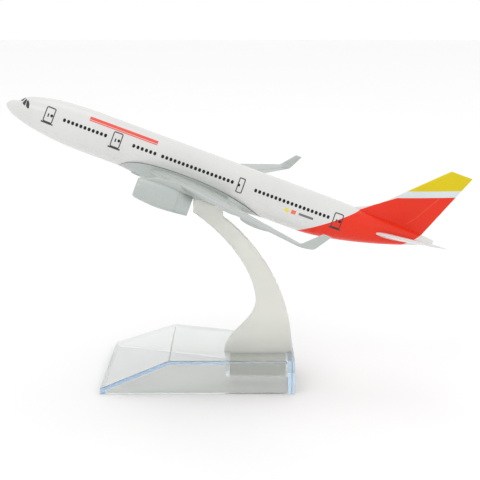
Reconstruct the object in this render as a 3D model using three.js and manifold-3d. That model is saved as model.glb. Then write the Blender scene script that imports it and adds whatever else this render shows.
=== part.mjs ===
// Desktop airliner model: a twin-jet, nose up, that lifts off a curved arm standing in a clear base.
// Millimetres, +Z up. The nose points to -X and the left wing to -Y.
// The airliner's own pieces are set out with x aft of the nose, y to the right and z above the axis.
import * as THREE from "three";
import { mergeVertices } from "three/addons/utils/BufferGeometryUtils.js";
import Module from "manifold-3d";

const wasm = await Module();
wasm.setup();

// ---------------------------------------------------------------- driving dimensions

const gap = 0.3; // clearance between pieces that fit together
const pitch = THREE.MathUtils.degToRad(20.4); // nose-up angle of the airliner on its arm

const body = {
  length: 160,
  radius: 7.7,
  noseLength: 34,
  noseDroop: 0.75, // how far the nose tip lies below the axis
  noseFullness: 2.4,
  noseBluntness: 0.6,
  tailLength: 48,
  tailEndRadius: 0.9,
  tailFullness: 1.6,
  crownDrop: 1.75, // fall of the crown line over the tail
  browStation: 3.6,
  browSpread: 1.7,
  browDepth: 0.9, // hollow ahead of the windscreen
  skin: 1.3,
  noseBlock: 2.2, // solid nose, ahead of the inside
  tailBlock: 12, // solid tail, behind the inside
  seam: 0.1, // line between the left and right halves
};
const tailStart = body.length - body.tailLength;
const amidships = (body.noseLength + tailStart) / 2; // stations of the middle pieces count from here

const fairing = {
  front: amidships - 29,
  rear: amidships + 26,
  swell: 14, // length over which it grows out of the fuselage
  depth: 1.6, // how far it stands below the fuselage
  side: 0.8, // how far it stands out beside the fuselage
  sink: 2, // how far the middle of its section lies below the axis
  squareness: 0.7, // 0 for a round section
  wall: 1.2,
  seamTop: 6 - body.radius, // height of its upper edge at the wing
  seamMiddle: amidships - 5,
};
const bellyDepth = body.radius + fairing.depth;

const wing = {
  rootSpan: body.radius - 0.2,
  kinkSpan: 26,
  tipSpan: 75.5,
  rootLead: amidships - 18,
  sweep: 0.7165, // leading edge, aft per millimetre of span
  rootTrail: amidships + 11.5,
  kinkTrail: amidships + 12.5,
  trailSweep: 0.4713,
  rootHeight: 3.4 - body.radius,
  dihedral: 0.0955,
  rootThickness: 3.6,
  kinkThickness: 2.2,
  tipThickness: 0.95,
  tabStart: amidships - 10,
  tabLength: 14,
  tabThickness: 1.1,
  tabReach: 3.4, // from the tab's inner end to where it joins the panel
};

const winglet = { bend: 2.2, height: 5, cant: 20, sweep: 0.85, tipChord: 2.6, thickness: 0.75 };

const flapTrack = {
  spans: [19, 33, 49],
  halfLength: 6.3,
  halfWidth: 0.85,
  halfHeight: 1.25,
  drop: 1.1,
  setForward: 2, // of the trailing edge
};

const fin = {
  foot: body.radius - 2.7, // height of its buried edge
  tip: body.radius + 23.9,
  crown: body.radius - 0.7, // height at which its edges' lines are stated
  lead: body.length - 28.1,
  sweep: 1,
  trail: body.length - 4.6,
  trailSweep: 0.3745,
  filletFoot: body.radius - 1.2,
  filletTop: body.radius + 5.3,
  filletLength: 5.5,
  rootThickness: 2,
  tipThickness: 0.9,
};

const tailplane = {
  lead: body.length - 21.5,
  trail: body.length - 4.6,
  rootSpan: 5,
  tipSpan: 25,
  buriedSpan: 1,
  sweep: 0.7,
  trailSweep: 0.22,
  height: body.radius - 5.7,
  incidence: 0.105, // rise of the chord aft, per millimetre
  dihedral: 0.2126,
  rootThickness: 1.8,
  tipThickness: 0.8,
  tabStart: body.length - 17,
  tabLength: 6.5,
  tabThickness: 0.9,
  tabDepth: 1.5,
  tabReach: 1, // of the tab outside the fuselage, into the panel
};

const engine = {
  span: 24.3,
  below: 0.07, // from the wing's underside down to the cowl's widest line
  front: amidships - 20,
  length: 19.5,
  lipRadius: 3.05,
  radius: 4.25,
  exitRadius: 3.5,
  throatRadius: 2.7,
  ductRadius: 3.1,
  lipWall: 0.3,
};

const fan = {
  setback: 4,
  depth: 1,
  hubRadius: 0.9,
  spinner: 1.7,
  blades: 12,
  bladeThickness: 0.28,
  twist: 38,
};

// Stations of the exhaust count from the front of the cowl.
const exhaust = {
  bulkhead: 7.4,
  bulkheadDepth: 1.2,
  coreRadius: 2.4,
  nozzle: 18.6,
  nozzleRadius: 1.9,
  nozzleWall: 0.3,
  plug: 19.3,
};

// The ridge stands above the wing's middle plane, and the foot above the engine's axis.
const pylon = { width: 1.8, front: 2.6, rear: 27, ridge: 0.8, foot: 2.95, bite: 0.7 };

const screw = {
  front: fairing.front + 7.5,
  behindTongue: 4.5,
  span: 2.6,
  headRadius: 1.25,
  headHeight: 0.8,
  shankRadius: 0.65,
  shankTop: 7.5 - bellyDepth,
  bossWall: 0.75,
  bossTop: 3.9 - bellyDepth,
  postWall: 0.55,
  headSeat: 2.6 - bellyDepth,
  slotWidth: 0.35,
  slotDepth: 0.3,
};

const base = {
  length: 70.7,
  height: 12.5,
  lip: 2, // height of the front edge
  slope: 25, // length of the sloping front
  nearSide: -12,
  farFront: 43,
  farRear: 18,
  top: 1.6,
  wall: 1.8,
  rearWall: 2.4,
};

const arm = {
  thickness: 4,
  station: amidships + 5.67, // along the fuselage, over the middle of the tongue
  perch: base.height + 55.96, // height of the belly above the floor, over the middle of the tongue
  tongueMiddle: base.length - 31.4,
  tongueWidth: 10.6,
  tongueDepth: 5.7,
  neck: 3.3, // clear of the belly, where the inner edge starts
  shoulder: 5.4, // clear of the belly, where the outer edge starts
  waist: [base.length - 14.1, base.height + 19], // the inner edge's rearmost point
  toe: base.length - 25.7,
  heel: base.length - 0.7,
  tenonStart: base.length - 23.6,
  tenonEnd: base.length - 3,
  tenonFoot: 3.9, // height of the tenon's foot above the floor
  seat: 0.1,
  socketWall: 1.2,
};

// Sides and rings of the round forms.
const facets = {
  body: 32,
  noseRings: 11,
  tailRings: 9,
  cavity: 20,
  cavityRings: 11,
  fairing: 32,
  fairingRings: 16,
  blade: 16,
  winglet: 4,
  cowl: 20,
  fan: 12,
  core: 18,
  bar: 12,
};

// ---------------------------------------------------------------- solids

// A geometry as a closed solid, its vertices first moved by place(x, y, z).
function solid(geometry, place = (x, y, z) => [x, y, z]) {
  const shape = geometry.clone();
  shape.deleteAttribute("normal");
  shape.deleteAttribute("uv");
  const position = shape.getAttribute("position");
  for (let i = 0; i < position.count; i++) {
    position.setXYZ(i, ...place(position.getX(i), position.getY(i), position.getZ(i)));
  }
  const merged = mergeVertices(shape, 1e-4);
  const corners = merged.index.array;
  const faces = [];
  for (let i = 0; i < corners.length; i += 3) {
    const [a, b, c] = corners.slice(i, i + 3);
    if (a !== b && b !== c && c !== a) faces.push([a, b, c]);
  }
  const build = (list) =>
    new wasm.Manifold(
      new wasm.Mesh({
        numProp: 3,
        vertProperties: merged.getAttribute("position").array,
        triVerts: new Uint32Array(list.flat()),
      }),
    );
  const made = build(faces);
  // a mapping that mirrors turns the faces inwards, so they are turned back
  return made.volume() > 0 ? made : build(faces.map(([a, b, c]) => [a, c, b]));
}

function box(low, high) {
  const size = high.map((value, axis) => value - low[axis]);
  const middle = high.map((value, axis) => (value + low[axis]) / 2);
  return solid(new THREE.BoxGeometry(...size).translate(...middle));
}

const outline = (points) => new THREE.Shape(points.map(([x, y]) => new THREE.Vector2(x, y)));

// A side view shape, x aft and y up, extruded across from y = low to y = high.
function slab(shape, low, high, curveSegments = 16) {
  const geometry = new THREE.ExtrudeGeometry(shape, {
    depth: high - low,
    bevelEnabled: false,
    curveSegments,
  });
  return solid(geometry, (x, y, z) => [x, low + z, y]);
}

// An upright round bar.
function bar(x, y, radius, low, high) {
  const geometry = new THREE.CylinderGeometry(radius, radius, high - low, facets.bar);
  return solid(geometry, (u, v, w) => [x + u, y + w, (low + high) / 2 + v]);
}

// A body turned about the X direction through (y, z): the profile is [station, radius] points.
function turned(profile, y, z, sides) {
  const points = profile.map(([station, radius]) => new THREE.Vector2(radius, station));
  return solid(new THREE.LatheGeometry(points, sides), (u, v, w) => [v, y + u, z + w]);
}

const lerp = THREE.MathUtils.lerp;
const smooth = THREE.MathUtils.smoothstep;

// ---------------------------------------------------------------- fuselage

function bodyRadiusAt(station) {
  if (station < body.noseLength) {
    const ahead = 1 - Math.max(station, 0) / body.noseLength;
    return body.radius * (1 - ahead ** body.noseFullness) ** body.noseBluntness;
  }
  const aft = Math.min(Math.max((station - tailStart) / body.tailLength, 0), 1);
  return body.radius - (body.radius - body.tailEndRadius) * aft ** body.tailFullness;
}

function bodyCentreAt(station) {
  const ahead = Math.max(1 - (2 * station) / body.noseLength, 0);
  const aft = Math.max((station - tailStart) / body.tailLength, 0);
  const crown = body.radius - body.crownDrop * aft ** 2;
  return aft > 0 ? crown - bodyRadiusAt(station) : -body.noseDroop * ahead ** 2;
}

// The brow is a shallow hollow in the upper nose, at the foot of the windscreen.
function browAt(station, up) {
  const away = (station - body.browStation) / body.browSpread;
  return body.browDepth * Math.exp(-(away ** 2)) * Math.max(up, 0) ** 1.5;
}

// The fuselage's outer form, grown by offset, or its inside where offset is negative.
function fuselageForm(offset, { from = 0, to = body.length, sides = facets.body } = {}) {
  const stations = [];
  for (let i = 0; i <= facets.noseRings; i++) {
    const turn = (i / facets.noseRings) * (Math.PI / 2);
    stations.push(lerp(from, body.noseLength, 1 - Math.cos(turn)));
  }
  for (let i = 0; i <= facets.tailRings; i++) {
    stations.push(lerp(tailStart, to, i / facets.tailRings));
  }
  const least = 0.01; // keeps the nose ring open
  const profile = stations.map((station) => {
    return new THREE.Vector2(Math.max(bodyRadiusAt(station) + offset, least), station);
  });
  profile.unshift(new THREE.Vector2(0, from));
  profile.push(new THREE.Vector2(0, to));
  const geometry = new THREE.LatheGeometry(profile, sides);
  return solid(geometry, (u, station, w) => {
    const radius = Math.hypot(u, w);
    const up = radius > 0 ? w / radius : 0;
    const sunk = browAt(station, up) * Math.min(radius / 2, 1);
    return [station, u, bodyCentreAt(station) + w - sunk];
  });
}

// ---------------------------------------------------------------- belly fairing

function swellAt(station) {
  const front = smooth(station, fairing.front, fairing.front + fairing.swell);
  const rear = 1 - smooth(station, fairing.rear - 1.3 * fairing.swell, fairing.rear);
  return Math.min(front, rear);
}

// The fairing's outer form, grown by offset: a round section that swells to a fuller, lower one.
function fairingForm(offset, { sides = facets.fairing, rings = facets.fairingRings } = {}) {
  const ends = 2; // how far it runs past its own ends, inside the fuselage
  const first = fairing.front - ends;
  const last = fairing.rear + ends;
  const geometry = new THREE.CylinderGeometry(1, 1, 1, sides, rings);
  return solid(geometry, (u, v, w) => {
    const station = lerp(first, last, v + 0.5);
    const swell = swellAt(station);
    const power = 2 / (2 + fairing.squareness * swell);
    const across = Math.sign(u) * Math.abs(u) ** power;
    const upward = Math.sign(w) * Math.abs(w) ** power;
    const middle = -fairing.sink * swell;
    const halfWidth = body.radius + fairing.side * swell + offset;
    const halfHeight = body.radius + fairing.depth * swell + middle + offset;
    return [station, across * halfWidth, middle + upward * halfHeight];
  });
}

// The space below the fairing's curved upper edge, lowered by drop.
function belowSeam(drop) {
  const { front, rear, seamTop, seamMiddle } = fairing;
  const foot = -body.radius - drop;
  const top = seamTop - drop;
  const floor = -3 * body.radius;
  const shape = new THREE.Shape();
  shape.moveTo(front, floor);
  shape.lineTo(front, foot);
  shape.bezierCurveTo(front + 2, foot + 4.7, front + 10, top, seamMiddle, top);
  shape.bezierCurveTo(seamMiddle + 14, top, rear - 8, top - 2.3, rear, foot);
  shape.lineTo(rear, floor);
  return slab(shape, -3 * body.radius, 3 * body.radius, 10);
}

// ---------------------------------------------------------------- wings, fin and tailplane

// Half thickness of a symmetrical aerofoil, from 0 at its leading edge through 1 to 0.
function aerofoil(along) {
  const curve = -0.126 * along - 0.3516 * along ** 2 + 0.2843 * along ** 3 - 0.1036 * along ** 4;
  return 10 * (0.2969 * Math.sqrt(along) + curve);
}

// A blade lofted through stations of { lead, trail, height, span, lean, thickness }: lean turns the
// thickness direction from straight up towards the wing's root, and raise(x, span) tilts the whole.
function blade(stations, offset = 0, raise = () => 0) {
  const last = stations.length - 1;
  const geometry = new THREE.CylinderGeometry(1, 1, 1, facets.blade, last);
  return solid(geometry, (u, v, w) => {
    const station = stations[Math.round((v + 0.5) * last)];
    const along = Math.min(Math.max((1 - u) / 2, 0), 1);
    const half = Math.sign(Math.round(w * 1e6)) * ((station.thickness / 2) * aerofoil(along) + offset);
    const x = lerp(station.lead - offset, station.trail + offset, along);
    const y = station.span - half * Math.sin(station.lean);
    return [x, y, station.height + half * Math.cos(station.lean) + raise(x, y)];
  });
}

function wingLead(span) {
  return wing.rootLead + wing.sweep * (span - wing.rootSpan);
}

function wingTrail(span) {
  const inner = (span - wing.rootSpan) / (wing.kinkSpan - wing.rootSpan);
  if (inner < 1) return lerp(wing.rootTrail, wing.kinkTrail, inner);
  return wing.kinkTrail + wing.trailSweep * (span - wing.kinkSpan);
}

function wingHeight(span) {
  return wing.rootHeight + wing.dihedral * (span - wing.rootSpan);
}

function wingThickness(span) {
  if (span < wing.kinkSpan) {
    const inner = (span - wing.rootSpan) / (wing.kinkSpan - wing.rootSpan);
    return lerp(wing.rootThickness, wing.kinkThickness, inner);
  }
  const outer = (span - wing.kinkSpan) / (wing.tipSpan - wing.kinkSpan);
  return lerp(wing.kinkThickness, wing.tipThickness, outer);
}

const wingUnder = (span) => wingHeight(span) - wingThickness(span) / 2;
const wingBuried = wing.rootSpan - 2; // the loft starts here and is trimmed by the fairing

function wingStations() {
  const lean = Math.atan(wing.dihedral);
  const { kinkSpan, tipSpan } = wing;
  const spans = [wingBuried, kinkSpan, lerp(kinkSpan, tipSpan, 0.33), lerp(kinkSpan, tipSpan, 0.67), tipSpan];
  const stations = spans.map((span) => ({
    lead: wingLead(span),
    trail: wingTrail(span),
    height: wingHeight(span),
    span,
    lean,
    thickness: wingThickness(span),
  }));
  // the winglet: an arc from the wing's dihedral to the winglet's cant, then a straight blade
  const upright = THREE.MathUtils.degToRad(90 - winglet.cant);
  const tip = stations[stations.length - 1];
  const arcSteps = facets.winglet;
  const arcLength = winglet.bend * (upright - lean);
  const total = arcLength + winglet.height;
  for (let i = 1; i <= arcSteps + 1; i++) {
    const bent = Math.min(i / arcSteps, 1) * (upright - lean);
    const straight = i > arcSteps ? winglet.height : 0;
    const travelled = winglet.bend * bent + straight;
    const turn = lean + bent;
    const lead = tip.lead + winglet.sweep * travelled;
    stations.push({
      lead,
      trail: lead + lerp(tip.trail - tip.lead, winglet.tipChord, travelled / total),
      height: tip.height + winglet.bend * (Math.cos(lean) - Math.cos(turn)) + straight * Math.sin(turn),
      span: tip.span + winglet.bend * (Math.sin(turn) - Math.sin(lean)) + straight * Math.cos(turn),
      lean: turn,
      thickness: lerp(wing.tipThickness, winglet.thickness, travelled / total),
    });
  }
  return stations;
}

// The tab that locates a wing in the fairing, on the right where side is 1 and on the left where -1.
function wingTab(offset, side = 1) {
  const middle = wingHeight(wing.rootSpan);
  const half = wing.tabThickness / 2 + offset;
  const outer = body.radius + fairing.side + 3 * gap;
  const inner = outer - wing.tabReach - offset;
  const start = wing.tabStart - offset;
  const across = side > 0 ? [inner, outer] : [-outer, -inner];
  const end = start + wing.tabLength + 2 * offset;
  return box([start, across[0], middle - half], [end, across[1], middle + half]);
}

function flapTrackAt(span) {
  const geometry = new THREE.SphereGeometry(1, 10, 7);
  const { halfLength, halfWidth, halfHeight, drop, setForward } = flapTrack;
  const x = wingTrail(span) - setForward;
  const z = wingHeight(span) - drop;
  return solid(geometry, (u, v, w) => [x + v * halfLength, span + u * halfWidth, z + w * halfHeight]);
}

function finStations() {
  const { foot, tip, crown, filletFoot, filletTop } = fin;
  const filletHeights = [0, 0.15, 0.3, 0.54, 1].map((share) => lerp(filletFoot, filletTop, share));
  return [foot, ...filletHeights, tip].map((height) => {
    const above = Math.max(height, filletFoot);
    const fillet = Math.max((filletTop - above) / (filletTop - filletFoot), 0) ** 2;
    return {
      lead: fin.lead + fin.sweep * (above - crown) - fin.filletLength * fillet,
      trail: fin.trail + fin.trailSweep * (height - crown),
      height,
      span: 0,
      lean: Math.PI / 2,
      thickness: lerp(fin.rootThickness, fin.tipThickness, (height - foot) / (tip - foot)),
    };
  });
}

function tailplaneHeight(station, span) {
  const { lead, height, incidence, dihedral, rootSpan } = tailplane;
  return height + incidence * (station - lead) + dihedral * (span - rootSpan);
}

// The tailplane is lofted level and raised to its incidence and dihedral.
function tailplaneForm() {
  const { buriedSpan, rootSpan, tipSpan } = tailplane;
  const spans = [buriedSpan, rootSpan, tipSpan];
  const stations = spans.map((span) => {
    const outward = span - rootSpan;
    const share = outward / (tipSpan - rootSpan);
    return {
      lead: tailplane.lead + tailplane.sweep * outward,
      trail: tailplane.trail + tailplane.trailSweep * outward,
      height: 0,
      span,
      lean: 0,
      thickness: lerp(tailplane.rootThickness, tailplane.tipThickness, share),
    };
  });
  return blade(stations, 0, tailplaneHeight);
}

function tailplaneTab(offset) {
  const { tabStart, tabLength, tabThickness, tabDepth, tabReach } = tailplane;
  const station = tabStart + tabLength / 2;
  const outer = bodyRadiusAt(tabStart) + tabReach;
  const inner = bodyRadiusAt(station) - body.skin - tabDepth / 2;
  const middle = tailplaneHeight(station, (outer + inner) / 2);
  const half = tabThickness / 2 + offset;
  const low = [tabStart - offset, inner - offset, middle - half];
  return box(low, [tabStart + tabLength + offset, outer, middle + half]);
}

// ---------------------------------------------------------------- engines and pylons

const engineHeight = wingUnder(engine.span) - engine.below - engine.radius;

const spline = (points, count) =>
  new THREE.SplineCurve(points.map(([x, y]) => new THREE.Vector2(x, y))).getPoints(count);

function cowlOutside(offset) {
  const { front, length, lipRadius, radius, exitRadius } = engine;
  const points = spline(
    [
      [front, lipRadius],
      [front + 0.08 * length, lerp(lipRadius, radius, 0.5)],
      [front + 0.4 * length, radius],
      [front + 0.7 * length, lerp(exitRadius, radius, 0.75)],
      [front + length, exitRadius],
    ],
    8,
  );
  return points.map((point) => [point.x, point.y + offset]);
}

function cowlForm(offset) {
  const outside = cowlOutside(offset);
  const front = [outside[0][0] - offset, 0];
  const rear = [outside[outside.length - 1][0] + offset, 0];
  outside[0][0] -= offset;
  outside[outside.length - 1][0] += offset;
  return turned([front, ...outside, rear], engine.span, engineHeight, facets.cowl);
}

function cowl() {
  const { front, length, lipRadius, throatRadius, ductRadius, exitRadius, lipWall } = engine;
  const duct = spline(
    [
      [front + length, exitRadius - lipWall],
      [front + 0.6 * length, ductRadius],
      [front + 0.25 * length, ductRadius],
      [front + 0.08 * length, throatRadius],
      [front, lipRadius - 0.12],
    ],
    6,
  ).map((point) => [point.x, point.y]);
  const closed = [...cowlOutside(0), ...duct];
  return turned([...closed, closed[0]], engine.span, engineHeight, facets.cowl);
}

const fanRadius = engine.ductRadius - gap;

function fanWheel() {
  const { setback, depth, hubRadius, spinner, blades, bladeThickness, twist } = fan;
  const face = engine.front + setback;
  const hub = turned(
    [
      [face - spinner, 0],
      [face - 0.85 * spinner, 0.35 * hubRadius],
      [face - 0.4 * spinner, 0.8 * hubRadius],
      [face, hubRadius],
      [face + depth, hubRadius],
      [face + depth, 0],
    ],
    engine.span,
    engineHeight,
    facets.fan,
  );
  let wheel = hub;
  for (let i = 0; i < blades; i++) {
    const length = fanRadius - 0.5 * hubRadius;
    const vane = new THREE.BoxGeometry(1.3 * depth, bladeThickness, length);
    vane.translate(0, 0, 0.5 * (fanRadius + 0.5 * hubRadius));
    vane.rotateZ(THREE.MathUtils.degToRad(twist));
    vane.rotateX((i / blades) * 2 * Math.PI);
    vane.translate(face + depth / 2, engine.span, engineHeight);
    wheel = wheel.add(solid(vane));
  }
  return wheel;
}

function exhaustCore() {
  const { bulkhead, bulkheadDepth, coreRadius, nozzle, nozzleRadius, nozzleWall, plug } = exhaust;
  const start = engine.front + bulkhead;
  const lip = engine.front + nozzle;
  const profile = [
    [start, 0],
    [start, fanRadius],
    [start + bulkheadDepth, fanRadius],
    [start + 1.6 * bulkheadDepth, coreRadius],
    [lerp(start, lip, 0.5), coreRadius],
    [lip, nozzleRadius],
    [lip, nozzleRadius - nozzleWall],
    [lip - 1.2, nozzleRadius - nozzleWall],
    [lip - 1.2, 0.6 * nozzleRadius],
    [lip, 0.55 * nozzleRadius],
    [engine.front + plug, 0],
  ];
  return turned(profile, engine.span, engineHeight, facets.core);
}

// The pylon bites into the wing by a tongue, which the wing's groove holds.
function pylonForm(offset) {
  const { width, front, rear, ridge, foot, bite } = pylon;
  const lead = wingLead(engine.span);
  const under = wingUnder(engine.span);
  const crest = wingHeight(engine.span) + ridge + offset;
  const root = engineHeight + foot;
  const start = engine.front + front - offset;
  const end = engine.front + rear + offset;
  const side = outline([
    [start, root],
    [start, root + 1],
    [start + 3, crest - 0.9],
    [lead - 1, crest],
    [lead + 1.2, crest - 0.3],
    [lead + 3, under + bite + offset],
    [end - 3, under + bite + offset],
    [end, under - 0.2],
    [end - 2, under - 0.6 - offset],
    [engine.front + engine.length + 1.2, root - offset],
  ]);
  const half = width / 2 + offset;
  return slab(side, engine.span - half, engine.span + half);
}

// ---------------------------------------------------------------- arm and base

// The tongue runs straight up, so in the airliner's own frame it leans back by the pitch angle.
function tongueBox(width, thickness, low, high) {
  const geometry = new THREE.BoxGeometry(width, thickness, 4 * body.radius).rotateY(-pitch);
  const across = solid(geometry, (x, y, z) => [arm.station + x, y, z - bellyDepth]);
  return across.intersect(box([0, -body.radius, low], [body.length, body.radius, high]));
}

const tongueTop = arm.tongueDepth - bellyDepth;

function armPlate() {
  const left = arm.tongueMiddle - arm.tongueWidth / 2;
  const right = arm.tongueMiddle + arm.tongueWidth / 2;
  const lean = Math.tan(pitch);
  const crest = (x) => arm.perch + arm.tongueDepth / Math.cos(pitch) - lean * (x - arm.tongueMiddle);
  const foot = base.height + arm.seat;
  const neck = arm.perch - arm.neck;
  const shoulder = arm.perch - arm.shoulder;
  const [waistX, waistZ] = arm.waist;
  const shape = new THREE.Shape();
  shape.moveTo(left, crest(left));
  shape.lineTo(left, neck);
  shape.bezierCurveTo(left + 10.3, neck - 7.1, waistX, waistZ + 13, waistX, waistZ);
  shape.bezierCurveTo(waistX, waistZ - 7.5, arm.toe + 0.2, foot + 7, arm.toe, foot);
  shape.lineTo(arm.tenonStart, foot);
  shape.lineTo(arm.tenonStart, arm.tenonFoot);
  shape.lineTo(arm.tenonEnd, arm.tenonFoot);
  shape.lineTo(arm.tenonEnd, foot);
  shape.lineTo(arm.heel, foot);
  const swing = lerp(foot, shoulder, 0.46);
  shape.bezierCurveTo(arm.heel, swing, right + 12.2, shoulder - 9.1, right + 0.3, shoulder);
  shape.lineTo(right, shoulder + 2);
  shape.lineTo(right, crest(right));
  return slab(shape, -arm.thickness / 2, arm.thickness / 2, 20);
}

// The base's plan narrows to the rear on its far side; inset moves its walls in.
function basePlan(inset, rearInset) {
  const taper = (base.farFront - base.farRear) / base.length;
  const shift = inset * Math.hypot(1, taper);
  const farSide = (x) => base.farFront - taper * x - shift;
  const front = inset;
  const rear = base.length - rearInset;
  const near = base.nearSide + inset;
  const shape = outline([
    [front, near],
    [rear, near],
    [rear, farSide(rear)],
    [front, farSide(front)],
  ]);
  const geometry = new THREE.ExtrudeGeometry(shape, { depth: 3 * base.height, bevelEnabled: false });
  return solid(geometry, (x, y, z) => [x, y, z - base.height]);
}

function baseForm() {
  const { length, height, lip, slope, top } = base;
  const rise = (height - lip) / slope;
  const cover = top * Math.hypot(1, rise);
  const under = -base.height / 4;
  const reach = 2 * base.farFront;
  const outside = outline([
    [0, 0],
    [length, 0],
    [length, height],
    [slope, height],
    [0, lip],
  ]);
  const inside = outline([
    [0, under],
    [length, under],
    [length, height - top],
    [slope + (cover - top) / rise, height - top],
    [0, lip - cover],
  ]);
  const shell = slab(outside, -reach, reach).intersect(basePlan(0, 0));
  return shell.subtract(slab(inside, -reach, reach).intersect(basePlan(base.wall, base.rearWall)));
}

function standBase() {
  const half = arm.thickness / 2;
  const wallHalf = half + gap + arm.socketWall;
  const rear = base.length - base.rearWall / 2;
  const start = arm.tenonStart - gap;
  const top = base.height - base.top / 2;
  const socket = box([start - arm.socketWall, -wallHalf, arm.tenonFoot], [rear, wallHalf, top]);
  const slot = box([start, -half - gap, -base.height], [arm.tenonEnd + gap, half + gap, 2 * base.height]);
  return baseForm().add(socket).subtract(slot);
}

// ---------------------------------------------------------------- airliner pieces

const screwStations = [screw.front, arm.station + arm.tongueWidth / 2 + screw.behindTongue];
const bodyForm = fuselageForm(0);
const bodyForClearance = fuselageForm(gap);
const fairingForClearance = fairingForm(gap);

function rightHalf() {
  const cavity = fuselageForm(-body.skin, {
    from: body.noseBlock,
    to: body.length - body.tailBlock,
    sides: facets.cavity,
  });
  let half = bodyForm
    .subtract(cavity)
    .subtract(belowSeam(0))
    .subtract(blade(finStations(), gap))
    .subtract(tailplaneTab(gap));
  for (const station of screwStations) {
    const crown = body.radius - body.skin / 2 - screw.span / 2;
    const boreRadius = screw.shankRadius + gap;
    const post = bar(station, screw.span, boreRadius + screw.postWall, screw.bossTop + gap, crown);
    const bore = bar(station, screw.span, boreRadius, -2 * body.radius, screw.shankTop + gap);
    half = half.add(post.intersect(bodyForm)).subtract(bore);
  }
  const reach = 3 * body.radius;
  return half.intersect(box([-reach, body.seam / 2, -reach], [body.length + reach, reach, reach]));
}

function bellyFairing() {
  const outer = fairingForm(0).intersect(belowSeam(gap));
  const wallHalf = arm.thickness / 2 + gap + arm.socketWall;
  const socketWidth = arm.tongueWidth + 2 * (gap + arm.socketWall);
  const ceiling = tongueTop + gap;
  let tray = outer.subtract(fairingForm(-fairing.wall, { sides: facets.cavity, rings: facets.cavityRings }));
  const socket = tongueBox(socketWidth, 2 * wallHalf, -2 * body.radius, ceiling + arm.socketWall);
  tray = tray.add(socket.intersect(outer));
  const headBore = screw.headRadius + gap;
  for (const station of screwStations) {
    for (const y of [-screw.span, screw.span]) {
      const boss = bar(station, y, headBore + screw.bossWall, -2 * body.radius, screw.bossTop);
      tray = tray
        .add(boss.intersect(outer))
        .subtract(bar(station, y, headBore, -2 * body.radius, screw.headSeat + gap))
        .subtract(bar(station, y, screw.shankRadius + gap, -2 * body.radius, 0));
    }
  }
  const slotWidth = arm.tongueWidth + 2 * gap;
  tray = tray.subtract(tongueBox(slotWidth, arm.thickness + 2 * gap, -3 * body.radius, ceiling));
  return tray.subtract(wingTab(gap, 1)).subtract(wingTab(gap, -1));
}

function rightWing() {
  let panel = blade(wingStations());
  for (const span of flapTrack.spans) panel = panel.add(flapTrackAt(span));
  panel = panel.subtract(fairingForClearance).subtract(bodyForClearance);
  return panel.add(wingTab(0)).subtract(pylonForm(gap));
}

function rightTailplane() {
  return tailplaneForm().subtract(bodyForClearance).add(tailplaneTab(0));
}

function rightPylon() {
  return pylonForm(0).subtract(cowlForm(gap));
}

function fairingScrew(station) {
  const y = screw.span;
  const { headRadius, headHeight, headSeat, shankRadius, shankTop, slotWidth, slotDepth } = screw;
  const under = headSeat - headHeight;
  const head = bar(station, y, headRadius, under, headSeat);
  const shank = bar(station, y, shankRadius, headSeat - headHeight / 2, shankTop);
  const slot = box(
    [station - headRadius, y - slotWidth / 2, under - 1],
    [station + headRadius, y + slotWidth / 2, under + slotDepth],
  );
  return head.add(shank).subtract(slot);
}

// ---------------------------------------------------------------- materials and assembly

const finish = (color, roughness, metalness = 0, more = {}) =>
  new THREE.MeshStandardMaterial({ color, roughness, metalness, flatShading: true, ...more });

const whitePaint = () => finish("#f4f4f2", 0.3);
const greyPaint = () => finish("#c3c9c8", 0.35);
const redPaint = () => finish("#e2351c", 0.32);
const darkMetal = () => finish("#6d7371", 0.45, 0.4);
const steel = () => finish("#9a9da0", 0.35, 0.9);
const clearPlastic = () => finish("#dfe8e4", 0.08, 0, { transparent: true, opacity: 0.35 });
const frostedPlastic = () => finish("#dcdccf", 0.5, 0, { transparent: true, opacity: 0.8 });

function piece(name, made, material) {
  const mesh = made.getMesh();
  const geometry = new THREE.BufferGeometry()
    .setAttribute("position", new THREE.BufferAttribute(mesh.vertProperties, 3))
    .setIndex(new THREE.BufferAttribute(mesh.triVerts, 1));
  geometry.computeVertexNormals();
  const part = new THREE.Mesh(geometry, material);
  part.name = name;
  return part;
}

// A right-hand piece and its mirror image on the left.
function pair(name, made, material) {
  const left = piece(name + "_left", made, material());
  left.scale.y = -1;
  return [left, piece(name + "_right", made, material())];
}

const airliner = new THREE.Group();
airliner.add(
  ...pair("fuselage_half", rightHalf(), whitePaint),
  piece("belly_fairing", bellyFairing(), greyPaint()),
  piece("tail_fin", blade(finStations()), redPaint()),
  ...pair("tailplane", rightTailplane(), whitePaint),
  ...pair("wing", rightWing(), greyPaint),
  ...pair("engine_pylon", rightPylon(), greyPaint),
  ...pair("engine_cowl", cowl(), greyPaint),
  ...pair("engine_fan", fanWheel(), darkMetal),
  ...pair("exhaust_core", exhaustCore(), darkMetal),
);
screwStations.forEach((station, row) => {
  const place = ["front", "rear"][row];
  airliner.add(...pair("fairing_screw_" + place, fairingScrew(station), steel));
});

// The belly point over the tongue is carried to the arm's perch.
const perch = new THREE.Vector3(arm.station, 0, -bellyDepth);
perch.applyAxisAngle(new THREE.Vector3(0, 1, 0), pitch);
airliner.rotation.y = pitch;
airliner.position.set(arm.tongueMiddle - perch.x, 0, arm.perch - perch.z);

const model = new THREE.Group();
model.add(
  airliner,
  piece("stand_arm", armPlate(), frostedPlastic()),
  piece("stand_base", standBase(), clearPlastic()),
);

// The origin is on the floor, under the middle of the whole model.
model.updateMatrixWorld(true);
const bounds = new THREE.Box3().setFromObject(model, true);
const middle = bounds.getCenter(new THREE.Vector3());
model.position.set(-middle.x, -middle.y, -bounds.min.z);

const root = new THREE.Group();
root.add(model);

export default root;
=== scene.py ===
import math
from types import SimpleNamespace

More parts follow.
